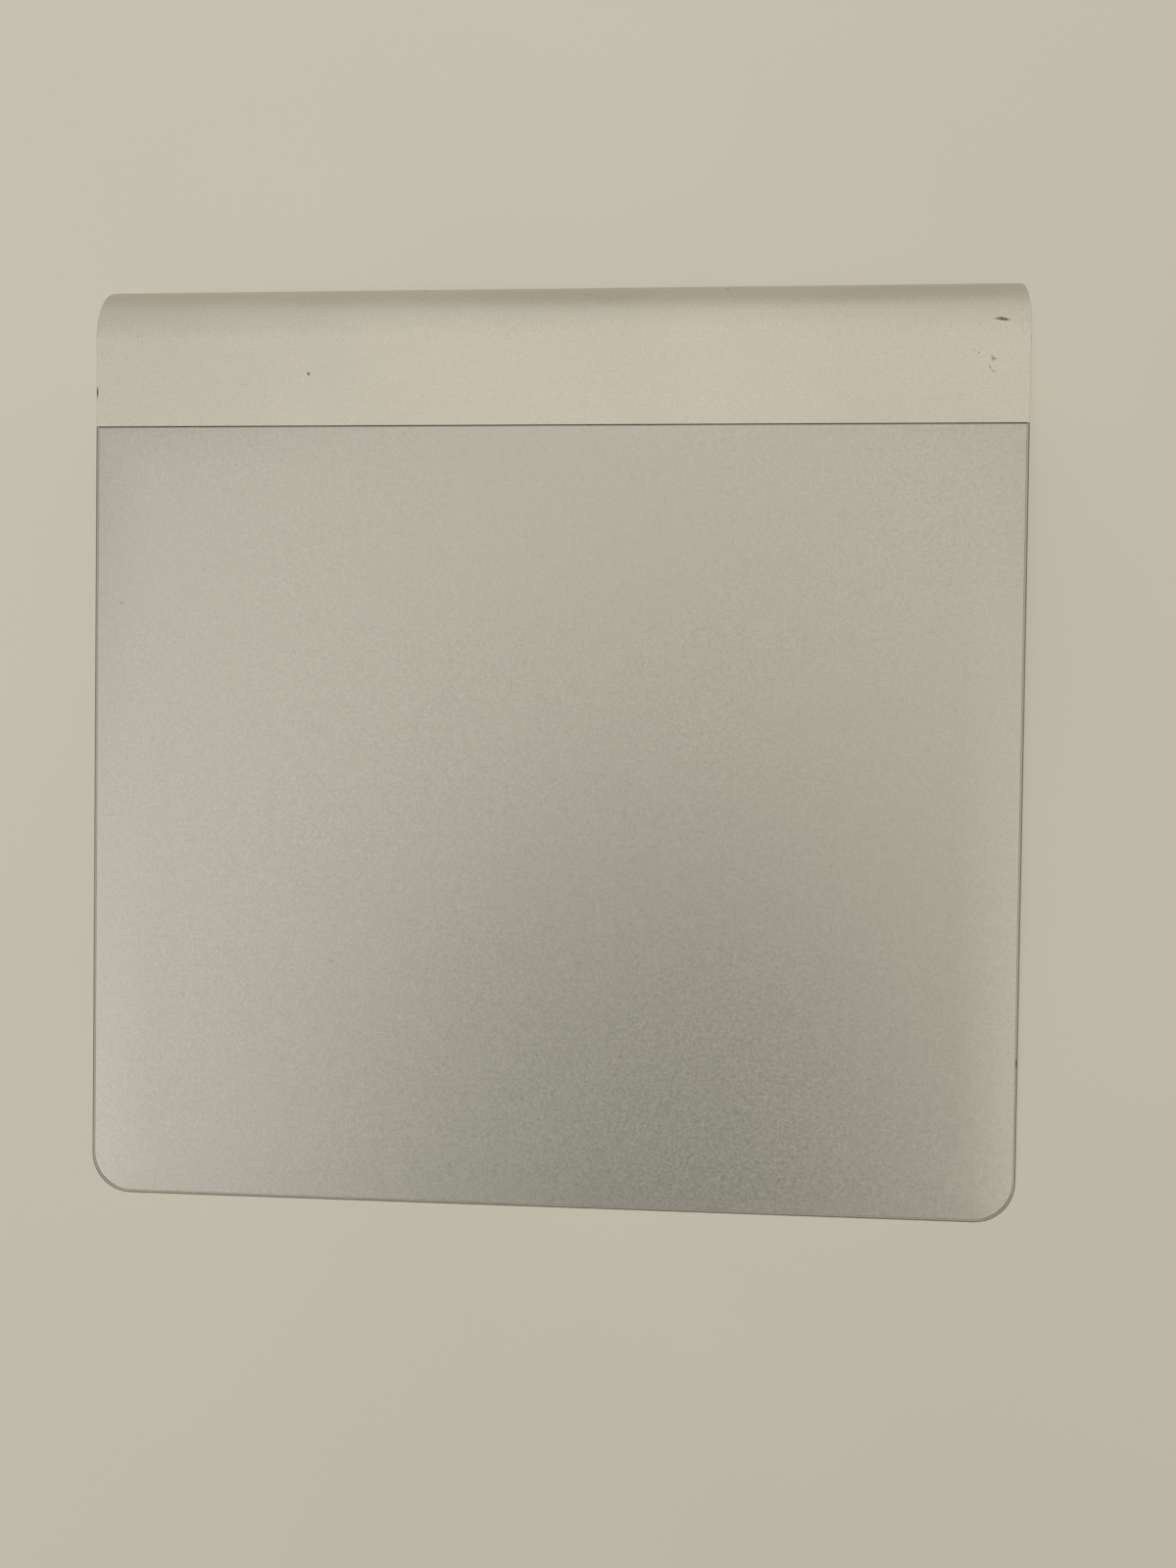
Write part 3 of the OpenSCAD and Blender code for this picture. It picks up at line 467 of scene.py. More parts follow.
def brushed_lines():
    """Fine lines left by rolling or brushing along X: noise drawn out fiftyfold along that axis."""
    tree, source, put = effect("brushed_lines", ("Tone", "Height"), Pitch=0.0002)
    drawn = arrows(tree, "MULTIPLY", source["Place"], (0.02, 1.0, 1.0))
    lines = noise(tree, drawn, sums(tree, "DIVIDE", 1.0, source["Pitch"]), detail=3.0, rough=0.6)
    return put(Tone=span(tree, lines, 0.3, 0.7), Height=lines)


def lathe_rings():
    """Rings left by turning: noise on the distance from an axis along X through a centre."""
    outputs = ("Tone", "Height", "Radius")
    tree, source, put = effect("lathe_rings", outputs, Centre=None, Pitch=0.00012)
    offset = arrows(tree, "SUBTRACT", source["Place"], source["Centre"])
    radius = measure(tree, "LENGTH", arrows(tree, "MULTIPLY", offset, (0.0, 1.0, 1.0)))
    inputs = {"W": sums(tree, "DIVIDE", radius, source["Pitch"]), "Scale": 1.0, "Detail": 2.0}
    rings = lay(tree, "TexNoise", inputs, noise_dimensions="1D").outputs[0]
    return put(Tone=span(tree, rings, 0.3, 0.7), Height=rings, Radius=radius)


def copper_tracks():
    """Copper under solder mask: parallel tracks that change direction from one square field to the next, and
    round pads in the middle of some cells. Fields and pads have so many to a track's pitch."""
    tree, source, put = effect("copper_tracks", ("Copper", "Pads", "Height"), Pitch=0.0006)
    fields, pad_cells, track_width, pad_radius = 0.09, 0.22, 0.42, 0.13
    bare_fields, bare_cells = 0.35, 0.45
    place, fine = source["Place"], sums(tree, "DIVIDE", 1.0, source["Pitch"])
    field = cells(tree, place, sums(tree, "MULTIPLY", fine, fields), distance="CHEBYCHEV")
    way, kept, _ = chance(tree, field)
    x, y, _ = steps(tree, place, fine)
    across, along = stripes(tree, x, track_width), stripes(tree, y, track_width)
    way = sums(tree, "GREATER_THAN", way, 0.5)
    lines = weigh(tree, across, way, along, sums(tree, "SUBTRACT", 1.0, way))
    copper = sums(tree, "MULTIPLY", lines, sums(tree, "GREATER_THAN", kept, bare_fields))
    pad = cells(tree, place, sums(tree, "MULTIPLY", fine, pad_cells))
    dots = sums(tree, "LESS_THAN", pad["Distance"], pad_radius)
    pads = sums(tree, "MULTIPLY", dots, sums(tree, "GREATER_THAN", chance(tree, pad)[0], bare_cells))
    return put(Copper=copper, Pads=pads, Height=sums(tree, "MAXIMUM", copper, pads))


def dust_specks():
    """Scattered specks: the middles of a share of the cells of one spacing."""
    tree, source, put = effect("dust_specks", ("Mask",), Spacing=0.004, Share=0.3)
    border, core = 0.06, 0.03
    speck = cells(tree, source["Place"], sums(tree, "DIVIDE", 1.0, source["Spacing"]))
    chosen = sums(tree, "LESS_THAN", chance(tree, speck)[0], source["Share"])
    return put(Mask=sums(tree, "MULTIPLY", span(tree, speck["Distance"], border, core), chosen))


def start(name, **sockets):
    """A new material: itself, its tree, its shader with plain values on its sockets, and Object
    coordinates."""
    material = bpy.data.materials.new(name)
    material.use_nodes = True
    tree = material.node_tree
    shader = tree.nodes["Principled BSDF"]
    for key, value in sockets.items():
        shader.inputs[key.replace("_", " ")].default_value = value
    return material, tree, shader, lay(tree, "TexCoord").outputs["Object"]


def close(tree, shader, colour, rough, height=None, depth=0.0, strength=0.4, edge=True, radius=None):
    """Joins colour, roughness and relief to a shader; hard edges are softened in the light first."""
    tree.links.new(colour, shader.inputs["Base Color"])
    tree.links.new(rough, shader.inputs["Roughness"])
    normal = None
    if edge:
        if radius is None:
            radius = bpy.context.scene.trackpad_finish.edge_round
        normal = lay(tree, "Bevel", {"Radius": radius}, samples=4).outputs[0]
    if height is not None:
        inputs = {"Height": height, "Distance": depth, "Strength": strength}
        if normal is not None:
            inputs["Normal"] = normal
        normal = lay(tree, "Bump", inputs).outputs[0]
    if normal is not None:
        tree.links.new(normal, shader.inputs["Normal"])


def marked(tree, place, marks, colour, rough, stain):
    """A colour and roughness with each mark of a list laid over them."""
    for centre, reach, turn, strength in marks:
        mark = use(tree, wear_mark, place, Centre=centre, Reach=reach, Turn=math.radians(turn))
        mask = sums(tree, "MULTIPLY", mark["Mask"], strength)
        colour = blend(tree, mask, colour, stain)
        rough = sums(tree, "MULTIPLY_ADD", mask, MARK_ROUGH, rough)
    return colour, rough


def grained(name, colour, rough, size, depth, contrast, broad=0.02, dust=0.0, edge=True):
    """A moulded, blasted or pressed finish: fine grain of one size in tone, roughness and relief, a broad
    unevenness, and a share of dust."""
    material, tree, shader, place = start(name)
    grain = use(tree, surface_grain, place, Size=size)
    uneven = use(tree, soft_mottle, place, Size=broad)["Tone"]
    tone = weigh(tree, grain["Tone"], 0.6, uneven, 0.4)
    skin = toned(tree, tone, colour, 1 - contrast, 1 + contrast)
    if dust:
        skin = blend(tree, use(tree, dust_specks, place, Spacing=0.0022, Share=dust)["Mask"], skin, DUST)
    worn = polish(tree, tone, rough - 0.06, rough + 0.06)
    close(tree, shader, skin, worn, grain["Height"], depth, edge=edge)
    return material


def points_of(node):
    """Corner points of a CAD node as an array."""
    points = np.empty(len(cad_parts[node].data.vertices) * 3)
    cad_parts[node].data.vertices.foreach_get("co", points)
    return points.reshape(-1, 3)


def plate_plane():
    """The touch plate laid flat: its tilt, which is that of its underside, its points along the slope and
    above it, and its front corners' radius, which is its half width less the reach of its straight front
    edge."""
    points = points_of("touch_plate")
    front, rear = points[points[:, 2].argmin()], points[points[:, 1].argmax()]
    tilt = math.atan2(rear[2] - front[2], rear[1] - front[1])
    along = points[:, 1] * math.cos(tilt) + points[:, 2] * math.sin(tilt)
    up = points[:, 2] * math.cos(tilt) - points[:, 1] * math.sin(tilt)
    edge = points[points[:, 1] < points[:, 1].min() + ON_EDGE]
    return tilt, along, up, float(points[:, 0].max() - edge[:, 0].max())


def lip_mask(tree, place):
    """Where painted shade goes on the lip round the touch plate, standing in for its rounded outer edge
    mirroring the
    dark surroundings: one at its outer edge, less at its inner edge, zero lower down. The plate's outline is a
    rectangle with two round corners at the front, and the way out from it is the distance from the rectangle
    drawn in by the corner radius, less that radius. The seam is carried on across the lip as a fine painted
    dark line, painted shade standing in for a gap, at the middle of the gap behind the plate."""
    low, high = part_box("touch_plate")
    tilt, along, up, corner = plate_plane()
    top = float(up.max())
    x, y, z = axes(tree, place)
    rise = sums(tree, "MULTIPLY_ADD", y, -math.sin(tilt), sums(tree, "MULTIPLY", z, math.cos(tilt)))
    near = span(tree, rise, *(top - depth for depth in LIP_DEPTHS))
    side = sums(tree, "MAXIMUM", sums(tree, "SUBTRACT", sums(tree, "ABSOLUTE", x), high.x - corner), 0.0)
    front = sums(tree, "MAXIMUM", sums(tree, "SUBTRACT", low.y + corner, y), 0.0)
    far = measure(tree, "LENGTH", lay(tree, "CombineXYZ", {0: side, 1: front}).outputs[0])
    outside = span(tree, far, *(corner + reach for reach in LIP_REACH), LIP_LEAST, 1.0)
    ahead = sums(tree, "LESS_THAN", y, high.y)
    seam = float(along.max()) + (SEAM + bpy.context.scene.trackpad_pieces.plate_back) / 2
    middle = seam * math.cos(tilt) - top * math.sin(tilt)
    # A painted dark line across the lip, painted shade standing in for the seam's gap
    cut = sums(tree, "ABSOLUTE", sums(tree, "SUBTRACT", y, middle))
    cut = span(tree, cut, *PAINTED_SEAM_REACH, PAINTED_SEAM_STRENGTH, 0.0)
    cut = sums(tree, "MULTIPLY", cut, sums(tree, "GREATER_THAN", far, corner))
    return sums(tree, "MULTIPLY", near, sums(tree, "MAXIMUM", cut, sums(tree, "MULTIPLY", outside, ahead)))


def blasted_aluminium(finish):
    """Bead-blasted, anodised aluminium with the marks of use, and painted shade on the lip round the touch
    plate and on the seam line across it.
    """
    material, tree, shader, place = start("blasted_aluminium", Metallic=1.0)
    grain = use(tree, surface_grain, place, Size=finish.blast_grain)
    uneven = use(tree, soft_mottle, place, Size=0.028)["Tone"]
    tone = weigh(tree, grain["Tone"], 0.75, uneven, 0.25)
    colour = toned(tree, tone, finish.aluminium, dark=0.88, light=1.12)
    rough = polish(tree, tone, finish.aluminium_rough - 0.05, finish.aluminium_rough + 0.05)
    colour, rough = marked(tree, place, BODY_MARKS, colour, rough, GRIME)
    lip = lip_mask(tree, place)
    # Painted shade on the lip round the touch plate, strongest at its outer edge, and on the seam line across
    # it
    colour = blend(tree, sums(tree, "MULTIPLY", lip, finish.lip_shade), colour, LIP_PAINTED_SHADE)
    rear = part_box("touch_plate")[1].y
    seam = sums(tree, "ABSOLUTE", sums(tree, "SUBTRACT", axes(tree, place)[1], rear))
    radius = span(tree, seam, *SEAM_ROUND, finish.gap_round, finish.edge_round)
    radius = sums(tree, "MULTIPLY_ADD", lip, finish.lip_round - finish.edge_round, radius)
    close(tree, shader, colour, rough, grain["Height"], depth=0.000012, strength=0.35, radius=radius)
    return material


def satin_plate(finish):
    """Etched satin touch plate: fine sparkle at two sizes, a broad unevenness and a few specks."""
    material, tree, shader, place = start("satin_plate", Metallic=1.0)
    grain = use(tree, surface_grain, place, Size=finish.plate_grain)
    sparkle = use(tree, surface_grain, place, Size=finish.plate_grain * 0.45)["Tone"]
    uneven = use(tree, soft_mottle, place, Size=0.035)["Tone"]
    tone = weigh(tree, grain["Tone"], 0.45, sparkle, 0.55)
    colour = toned(tree, tone, finish.plate, dark=0.81, light=1.19)
    colour = blend(tree, sums(tree, "MULTIPLY", uneven, 0.35), colour, shaded(finish.plate, 1.02))
    rough = polish(tree, tone, finish.plate_rough - 0.05, finish.plate_rough + 0.05)
    colour, rough = marked(tree, place, PLATE_MARKS, colour, rough, PLATE_GRIME)
    close(tree, shader, colour, rough, grain["Height"], depth=0.000008, strength=0.3, radius=finish.gap_round)
    return material


def turned_aluminium(finish):
    """Turned aluminium end pieces: rings round the tube's axis under the same anodised colour."""
    material, tree, shader, place = start("turned_aluminium", Metallic=1.0)
    rings = use(tree, lathe_rings, place, Centre=TUBE_AXIS, Pitch=0.00011)
    grain = use(tree, surface_grain, place, Size=finish.blast_grain)
    tone = weigh(tree, rings["Tone"], 0.6, grain["Tone"], 0.4)
    colour = toned(tree, tone, finish.aluminium, dark=0.88, light=1.05)
    height = sums(tree, "ADD", rings["Height"], sums(tree, "MULTIPLY", grain["Height"], 0.4))
    close(tree, shader, colour, polish(tree, tone, 0.3, 0.44), height, depth=0.00001)
    return material


def brushed_metal(name, colour, rough=0.3, pitch=0.00014, tarnish=0.15):
    """Rolled or brushed sheet metal with a little tarnish."""
    material, tree, shader, place = start(name, Metallic=1.0)
    lines = use(tree, brushed_lines, place, Pitch=pitch)
    uneven = use(tree, soft_mottle, place, Size=0.006)["Tone"]
    skin = toned(tree, lines["Tone"], colour, dark=0.85, light=1.08)
    skin = blend(tree, sums(tree, "MULTIPLY", uneven, tarnish), skin, shaded(colour, 0.5))
    worn = polish(tree, lines["Tone"], rough - 0.07, rough + 0.09)
    close(tree, shader, skin, worn, lines["Height"], depth=0.000006)
    return material


def circuit_board(name, mask, copper, pitch, electrodes=False):
    """Solder mask over copper tracks with tinned pads; a sensor board has a field of diamond electrodes
    instead, with narrow gaps between them."""
    material, tree, shader, place = start(name, Coat_Weight=0.25)
    if electrodes:
        inputs = {"Vector": place, "Angle": math.radians(45)}
        turned = lay(tree, "VectorRotate", inputs, rotation_type="Z_AXIS").outputs[0]
        x, y, _ = steps(tree, turned, 1 / pitch)
        inside = [sums(tree, "GREATER_THAN", sums(tree, "FRACT", axis), 0.07) for axis in (x, y)]
        lines = height = sums(tree, "MULTIPLY", *inside)
    else:
        tracks = use(tree, copper_tracks, place, Pitch=pitch)
        lines, height = tracks["Copper"], tracks["Height"]
    uneven = use(tree, soft_mottle, place, Size=0.004)["Tone"]
    skin = blend(tree, sums(tree, "MULTIPLY", uneven, 0.3), mask, shaded(mask, 0.7))
    skin = blend(tree, lines, skin, copper)
    if not electrodes:
        skin = blend(tree, tracks["Pads"], skin, (0.72, 0.62, 0.38))
        tree.links.new(tracks["Pads"], shader.inputs["Metallic"])
    close(tree, shader, skin, polish(tree, uneven, 0.32, 0.42), height, depth=0.00002, strength=0.5)
    return material


def ribbon(name, pitch):
    """Polyimide ribbon: copper tracks along Y seen through amber film, with a gloss."""
    material, tree, shader, place = start(name, Coat_Weight=0.5)
    lines = stripes(tree, sums(tree, "DIVIDE", axes(tree, place)[0], pitch), 0.55)
    uneven = use(tree, soft_mottle, place, Size=0.005)["Tone"]
    film = blend(tree, uneven, (0.40, 0.16, 0.02), (0.56, 0.25, 0.035))
    skin = blend(tree, lines, film, (0.62, 0.33, 0.09))
    rough = polish(tree, uneven, 0.22, 0.36)
    close(tree, shader, skin, rough, lines, depth=0.00002, strength=0.5, edge=False)
    return material


def cell_wrap(name, node):
    """A dry cell: printed sleeve with a lighter band at its plus end, bare steel at both ends, rolled
    edges."""
    low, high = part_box(node)
    band_width, bare_minus, bare_plus, bare_edge = 0.0145, 0.0006, 0.0021, 0.00045
    material, tree, shader, place = start(name, Coat_Weight=0.6)
    x = axes(tree, place)[0]
    radius = use(tree, lathe_rings, place, Centre=TUBE_AXIS)["Radius"]
    lines = use(tree, brushed_lines, place, Pitch=0.00016)
    uneven = use(tree, soft_mottle, place, Size=0.008)["Tone"]
    sleeve = blend(tree, uneven, (0.018, 0.035, 0.030), (0.028, 0.052, 0.044))
    band = sums(tree, "GREATER_THAN", x, high.x - band_width)
    sleeve = blend(tree, band, sleeve, (0.42, 0.30, 0.11))
    wrapped = sums(tree, "GREATER_THAN", radius, (high.z - low.z) / 2 - bare_edge)
    wrapped = sums(tree, "MULTIPLY", wrapped, sums(tree, "GREATER_THAN", x, low.x + bare_minus))
    wrapped = sums(tree, "MULTIPLY", wrapped, sums(tree, "LESS_THAN", x, high.x - bare_plus))
    steel = blend(tree, lines["Tone"], (0.46, 0.46, 0.45), (0.62, 0.62, 0.60))
    metal = sums(tree, "SUBTRACT", 1.0, sums(tree, "MULTIPLY", wrapped, 0.75))
    tree.links.new(metal, shader.inputs["Metallic"])
    skin, rough = blend(tree, wrapped, steel, sleeve), polish(tree, lines["Tone"], 0.2, 0.34)
    close(tree, shader, skin, rough, lines["Height"], depth=0.000005, strength=0.3)
    return material


def clear_plastic():
    """Clear moulded light pipe: glass-like, with a slightly uneven polish."""
    material, tree, shader, place = start("clear_plastic", Transmission_Weight=1.0, IOR=1.49)
    uneven = use(tree, soft_mottle, place, Size=0.0012)["Tone"]
    skin = blend(tree, uneven, (0.86, 0.90, 0.89), (0.95, 0.97, 0.96))
    close(tree, shader, skin, polish(tree, uneven, 0.05, 0.16), edge=False)
    return material


def dress(material, *names):
    """Gives a material to every slot of some CAD nodes."""
    for name in names:
        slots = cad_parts[name].material_slots
        if not slots:
            raise ValueError(f"{name} has no material slot")
        for slot in slots:
            slot.material = material


def sheet(points, wrap=False):
    """Corner points and square faces of a grid of points, as arrays. With wrap, the last column joins the
    first."""
    rows, columns = points.shape[:2]
    index = np.arange(rows * columns).reshape(rows, columns)
    if wrap:
        index = np.concatenate([index, index[:, :1]], axis=1)
    faces = np.stack([index[:-1, :-1], index[:-1, 1:], index[1:, 1:], index[1:, :-1]], axis=-1)
    return points.reshape(-1, 3), faces.reshape(-1, 4)


def placed(name, data):
    """A new object of the scene with its mesh, light or lens."""
    piece = bpy.data.objects.new(name, data)
    bpy.context.scene.collection.objects.link(piece)
    return piece


def solid(name, sheets, smooth=35.0):
    """One closed mesh object from sheets: shared borders are merged, faces turned outwards, and edges sharper
    than an angle in degrees kept."""
    points, faces, count = [], [], 0
    for corners, squares in sheets:
        points.append(corners)
        faces.append(squares + count)
        count += len(corners)
    mesh = bpy.data.meshes.new(name)
    mesh.from_pydata(np.concatenate(points).tolist(), [], np.concatenate(faces).tolist())
    work = bmesh.new()
    work.from_mesh(mesh)
    bmesh.ops.remove_doubles(work, verts=work.verts, dist=MERGE)
    bmesh.ops.dissolve_degenerate(work, edges=work.edges, dist=MERGE / 10)
    bmesh.ops.recalc_face_normals(work, faces=work.faces)
    loose = [edge for edge in work.edges if len(edge.link_faces) != 2]
    work.to_mesh(mesh)
    work.free()
    if loose:
        raise ValueError(f"{name} has {len(loose)} open edges")
    mesh.shade_smooth()
    mesh.set_sharp_from_angle(angle=math.radians(smooth))
    return placed(name, mesh)


def stand_in(piece, node, body, material):
    """Lets a piece stand for a CAD node: it wears a material and moves with the node's body, and the node is
    hidden."""
    piece.data.materials.append(material)
    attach(piece, body)
    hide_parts(node)


def threaded_cap(pieces):
    """The battery cap. Its side is a profile turned round the tube's axis, whose radius falls by a triangle
    wave of (distance along the axis / pitch + angle / full turn), so the thread keeps its place as the cap
    unscrews. Its face is cut by the two long borders of the coin slot: flat segments above and below, the
    slot's floor on the coin's circle, and upright walls between them."""
    low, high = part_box("battery_cap")
    insert_low, insert_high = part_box("cap_insert")
    outer, length = (high.z - low.z) / 2, high.x - low.x
    inner, shelf = (insert_high.z - insert_low.z) / 2, insert_low.x - low.x
    chamfer, corner, plain, runout, steps_a_pitch = 0.0003, 0.0002, 0.0014, 0.0006, 10
    rim, half = outer - chamfer, pieces.slot_width / 2
    edge = math.asin(half / rim)
    wide, narrow = np.linspace(edge, math.pi - edge, 81), np.linspace(-edge, edge, 7)
    parts = [wide[:-1], math.pi + narrow[:-1], math.pi + wide[:-1], 2 * math.pi + narrow[:-1]]
    turn = np.concatenate(parts)

    def spot(along, across, up):
        along, across, up = np.broadcast_arrays(along, across, up)
        return np.stack([low.x + along, AXIS_Y + across, AXIS_Z + up], axis=-1)

    side = np.arange(chamfer, length, pieces.thread_pitch / steps_a_pitch)
    along = np.concatenate([[0.0], side, [length, length, shelf + corner, shelf, shelf]])
    cup = [outer - corner, inner, inner, inner - corner, 0.0]
    radius = np.concatenate([[rim], np.full(len(side), outer), cup])
    clock = (math.pi / 2 - turn) / (2 * math.pi)
    wave = np.abs(2 * np.mod(along[:, None] / pieces.thread_pitch + clock[None, :], 1.0) - 1)
    fade = np.clip((along - plain) / runout, 0, 1) * np.clip((length - corner - along) / runout, 0, 1)
    fade = np.where(radius >= outer - 1e-9, fade, 0.0)
    reach = radius[:, None] - pieces.thread_depth * fade[:, None] * np.clip(1.6 * wave - 0.3, 0, 1)
    sheets = [sheet(spot(along[:, None], reach * np.cos(turn), reach * np.sin(turn)), wrap=True)]
    across, rise = rim * np.cos(wide), np.linspace(0, 1, 7)[:, None]
    coin = pieces.coin / 2
    sink = np.sqrt(np.maximum(0.0, coin**2 - across**2)) - (coin - pieces.slot_depth)
    sink = np.maximum(0.0, sink)
    slot_end = rim * math.cos(edge)
    ends = slot_end + np.linspace(0, 1, 3)[:, None] * (rim * np.cos(narrow) - slot_end)
    for way in (1, -1):
        up = half + rise * (rim * np.sin(wide) - half)
        sheets.append(sheet(spot(0.0, across[None, :], way * up)))
        sheets.append(sheet(spot(np.linspace(0, 1, 5)[:, None] * sink, across[None, :], way * half)))
        sheets.append(sheet(spot(0.0, way * ends, rim * np.sin(narrow)[None, :])))
    sheets.append(sheet(spot(sink[None, :], across[None, :], rim * np.sin(narrow)[:, None])))
    return solid("battery_cap_threaded", sheets, smooth=25.0)


def moulded_foot(node, name, rounding, dimple):
    """A rubber foot on the outline of its CAD node: a straight middle and two round ends, zero long on a
    round foot. The rings of the grid run from the middle of the underside, over a rounded edge, up the side
    and in over the top, which follows the plane of the CAD top. A shallow dimple is left in the middle of
    the underside, and its border is given by shares of the radius."""
    low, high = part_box(node)
    corners = points_of(node)
    middle = np.array((low + high) / 2)
    radius = (high.y - low.y) / 2
    straight = (high.x - low.x) / 2 - radius
    rim = 0.0002
    front = corners[corners[:, 1] < low.y + rim, 2].max()
    back = corners[corners[:, 1] > high.y - rim, 2].max()
    turn, bend = np.linspace(0, 2 * math.pi, 97)[:-1], np.linspace(0, math.pi / 2, 9)
    under = [radius, radius * 0.84, radius * 0.8, radius * 0.7, rounding * 1.4]
    walls = np.linspace(0.2, 0.9, 4)
    inward = np.concatenate([under, rounding * (1 - np.sin(bend)), 0 * walls, [0.0, radius]])
    sunk = [dimple, dimple, dimple * 0.3, 0.0, 0.0]
    lift = np.concatenate([sunk, rounding * (1 - np.cos(bend)), 0 * walls, [0.0, 0.0]])
    share = np.concatenate([np.zeros(len(under) + len(bend)), walls, [1.0, 1.0]])
    reach = (radius - inward)[:, None]
    x = middle[0] + np.sign(np.round(np.cos(turn), 9)) * straight + reach * np.cos(turn)
    y = middle[1] + reach * np.sin(turn)
    top = front + (back - front) * (y - low.y) / (high.y - low.y)
    z = np.where(share[:, None] > 0, rounding + share[:, None] * (top - rounding), lift[:, None])
    return solid(name, [sheet(np.stack([x, y, z], axis=-1), wrap=True)])


def etched_plate(pieces):
    """The touch plate with a fine round along its upper edge. Its outline is a rectangle with two round
    corners at the front. Rings of that outline, each drawn in by its own distance, run from the middle of
    the underside out to the edge, up the side, over the round and in over the top, and the whole is turned
    into the plane of the CAD plate. The rear edge, along the seam, has a reach of its own, and the front
    corners are a little rounder than the solid's."""
    tilt, along, up, corner = plate_plane()
    corner += pieces.plate_corner
    half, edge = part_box("touch_plate")[1].x, pieces.plate_edge
    bend, share, turn = np.linspace(0, math.pi / 2, 7), np.linspace(0, 1, 9), np.linspace(0, math.pi / 2, 17)
    under, over = np.full(len(share), up.min()), np.full(len(share), up.max())
    inset = np.concatenate([0 * under, [0.0], edge * (1 - np.cos(bend)), np.full(len(share), edge)])
    inset -= pieces.plate_out
    height = np.concatenate([under, [up.max() - edge], up.max() - edge * (1 - np.sin(bend)), over])
    scale = np.concatenate([share, [1.0], np.ones(len(bend)), share[::-1]])
    round_x, round_y = (corner - inset)[:, None] * np.sin(turn), (corner - inset)[:, None] * np.cos(turn)
    right_x, right_y = half - corner + round_x, along.min() + corner - round_y
    back_x = (half - inset)[:, None]
    back_y = (along.max() - inset - pieces.plate_out + pieces.plate_back)[:, None]
    x = np.concatenate([-right_x[:, ::-1], right_x, back_x, -back_x], axis=1)
    y = np.concatenate([right_y[:, ::-1], right_y, back_y, back_y], axis=1)
    middle = (along.min() + along.max()) / 2
    x, y = x * scale[:, None], middle + (y - middle) * scale[:, None]
    z = np.broadcast_to(height[:, None], x.shape)
    sine, cosine = math.sin(tilt), math.cos(tilt)
    flat = np.stack([x, y * cosine - z * sine, y * sine + z * cosine], axis=-1)
    return solid("touch_plate_etched", [sheet(flat, wrap=True)])


def leaf_springs():
    """The two leaf springs: a merged copy of their CAD node."""
    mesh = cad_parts["return_springs"].data.copy()
    mesh.materials.clear()
    work = bmesh.new()
    work.from_mesh(mesh)
    bmesh.ops.remove_doubles(work, verts=work.verts, dist=MERGE)
    work.to_mesh(mesh)
    work.free()
    springs = placed("return_springs_leaf", mesh)
    tilt = plate_plane()[0]
    points = points_of("return_springs")
    tab = points[points[:, 2].argmax()]
    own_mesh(springs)
    return springs


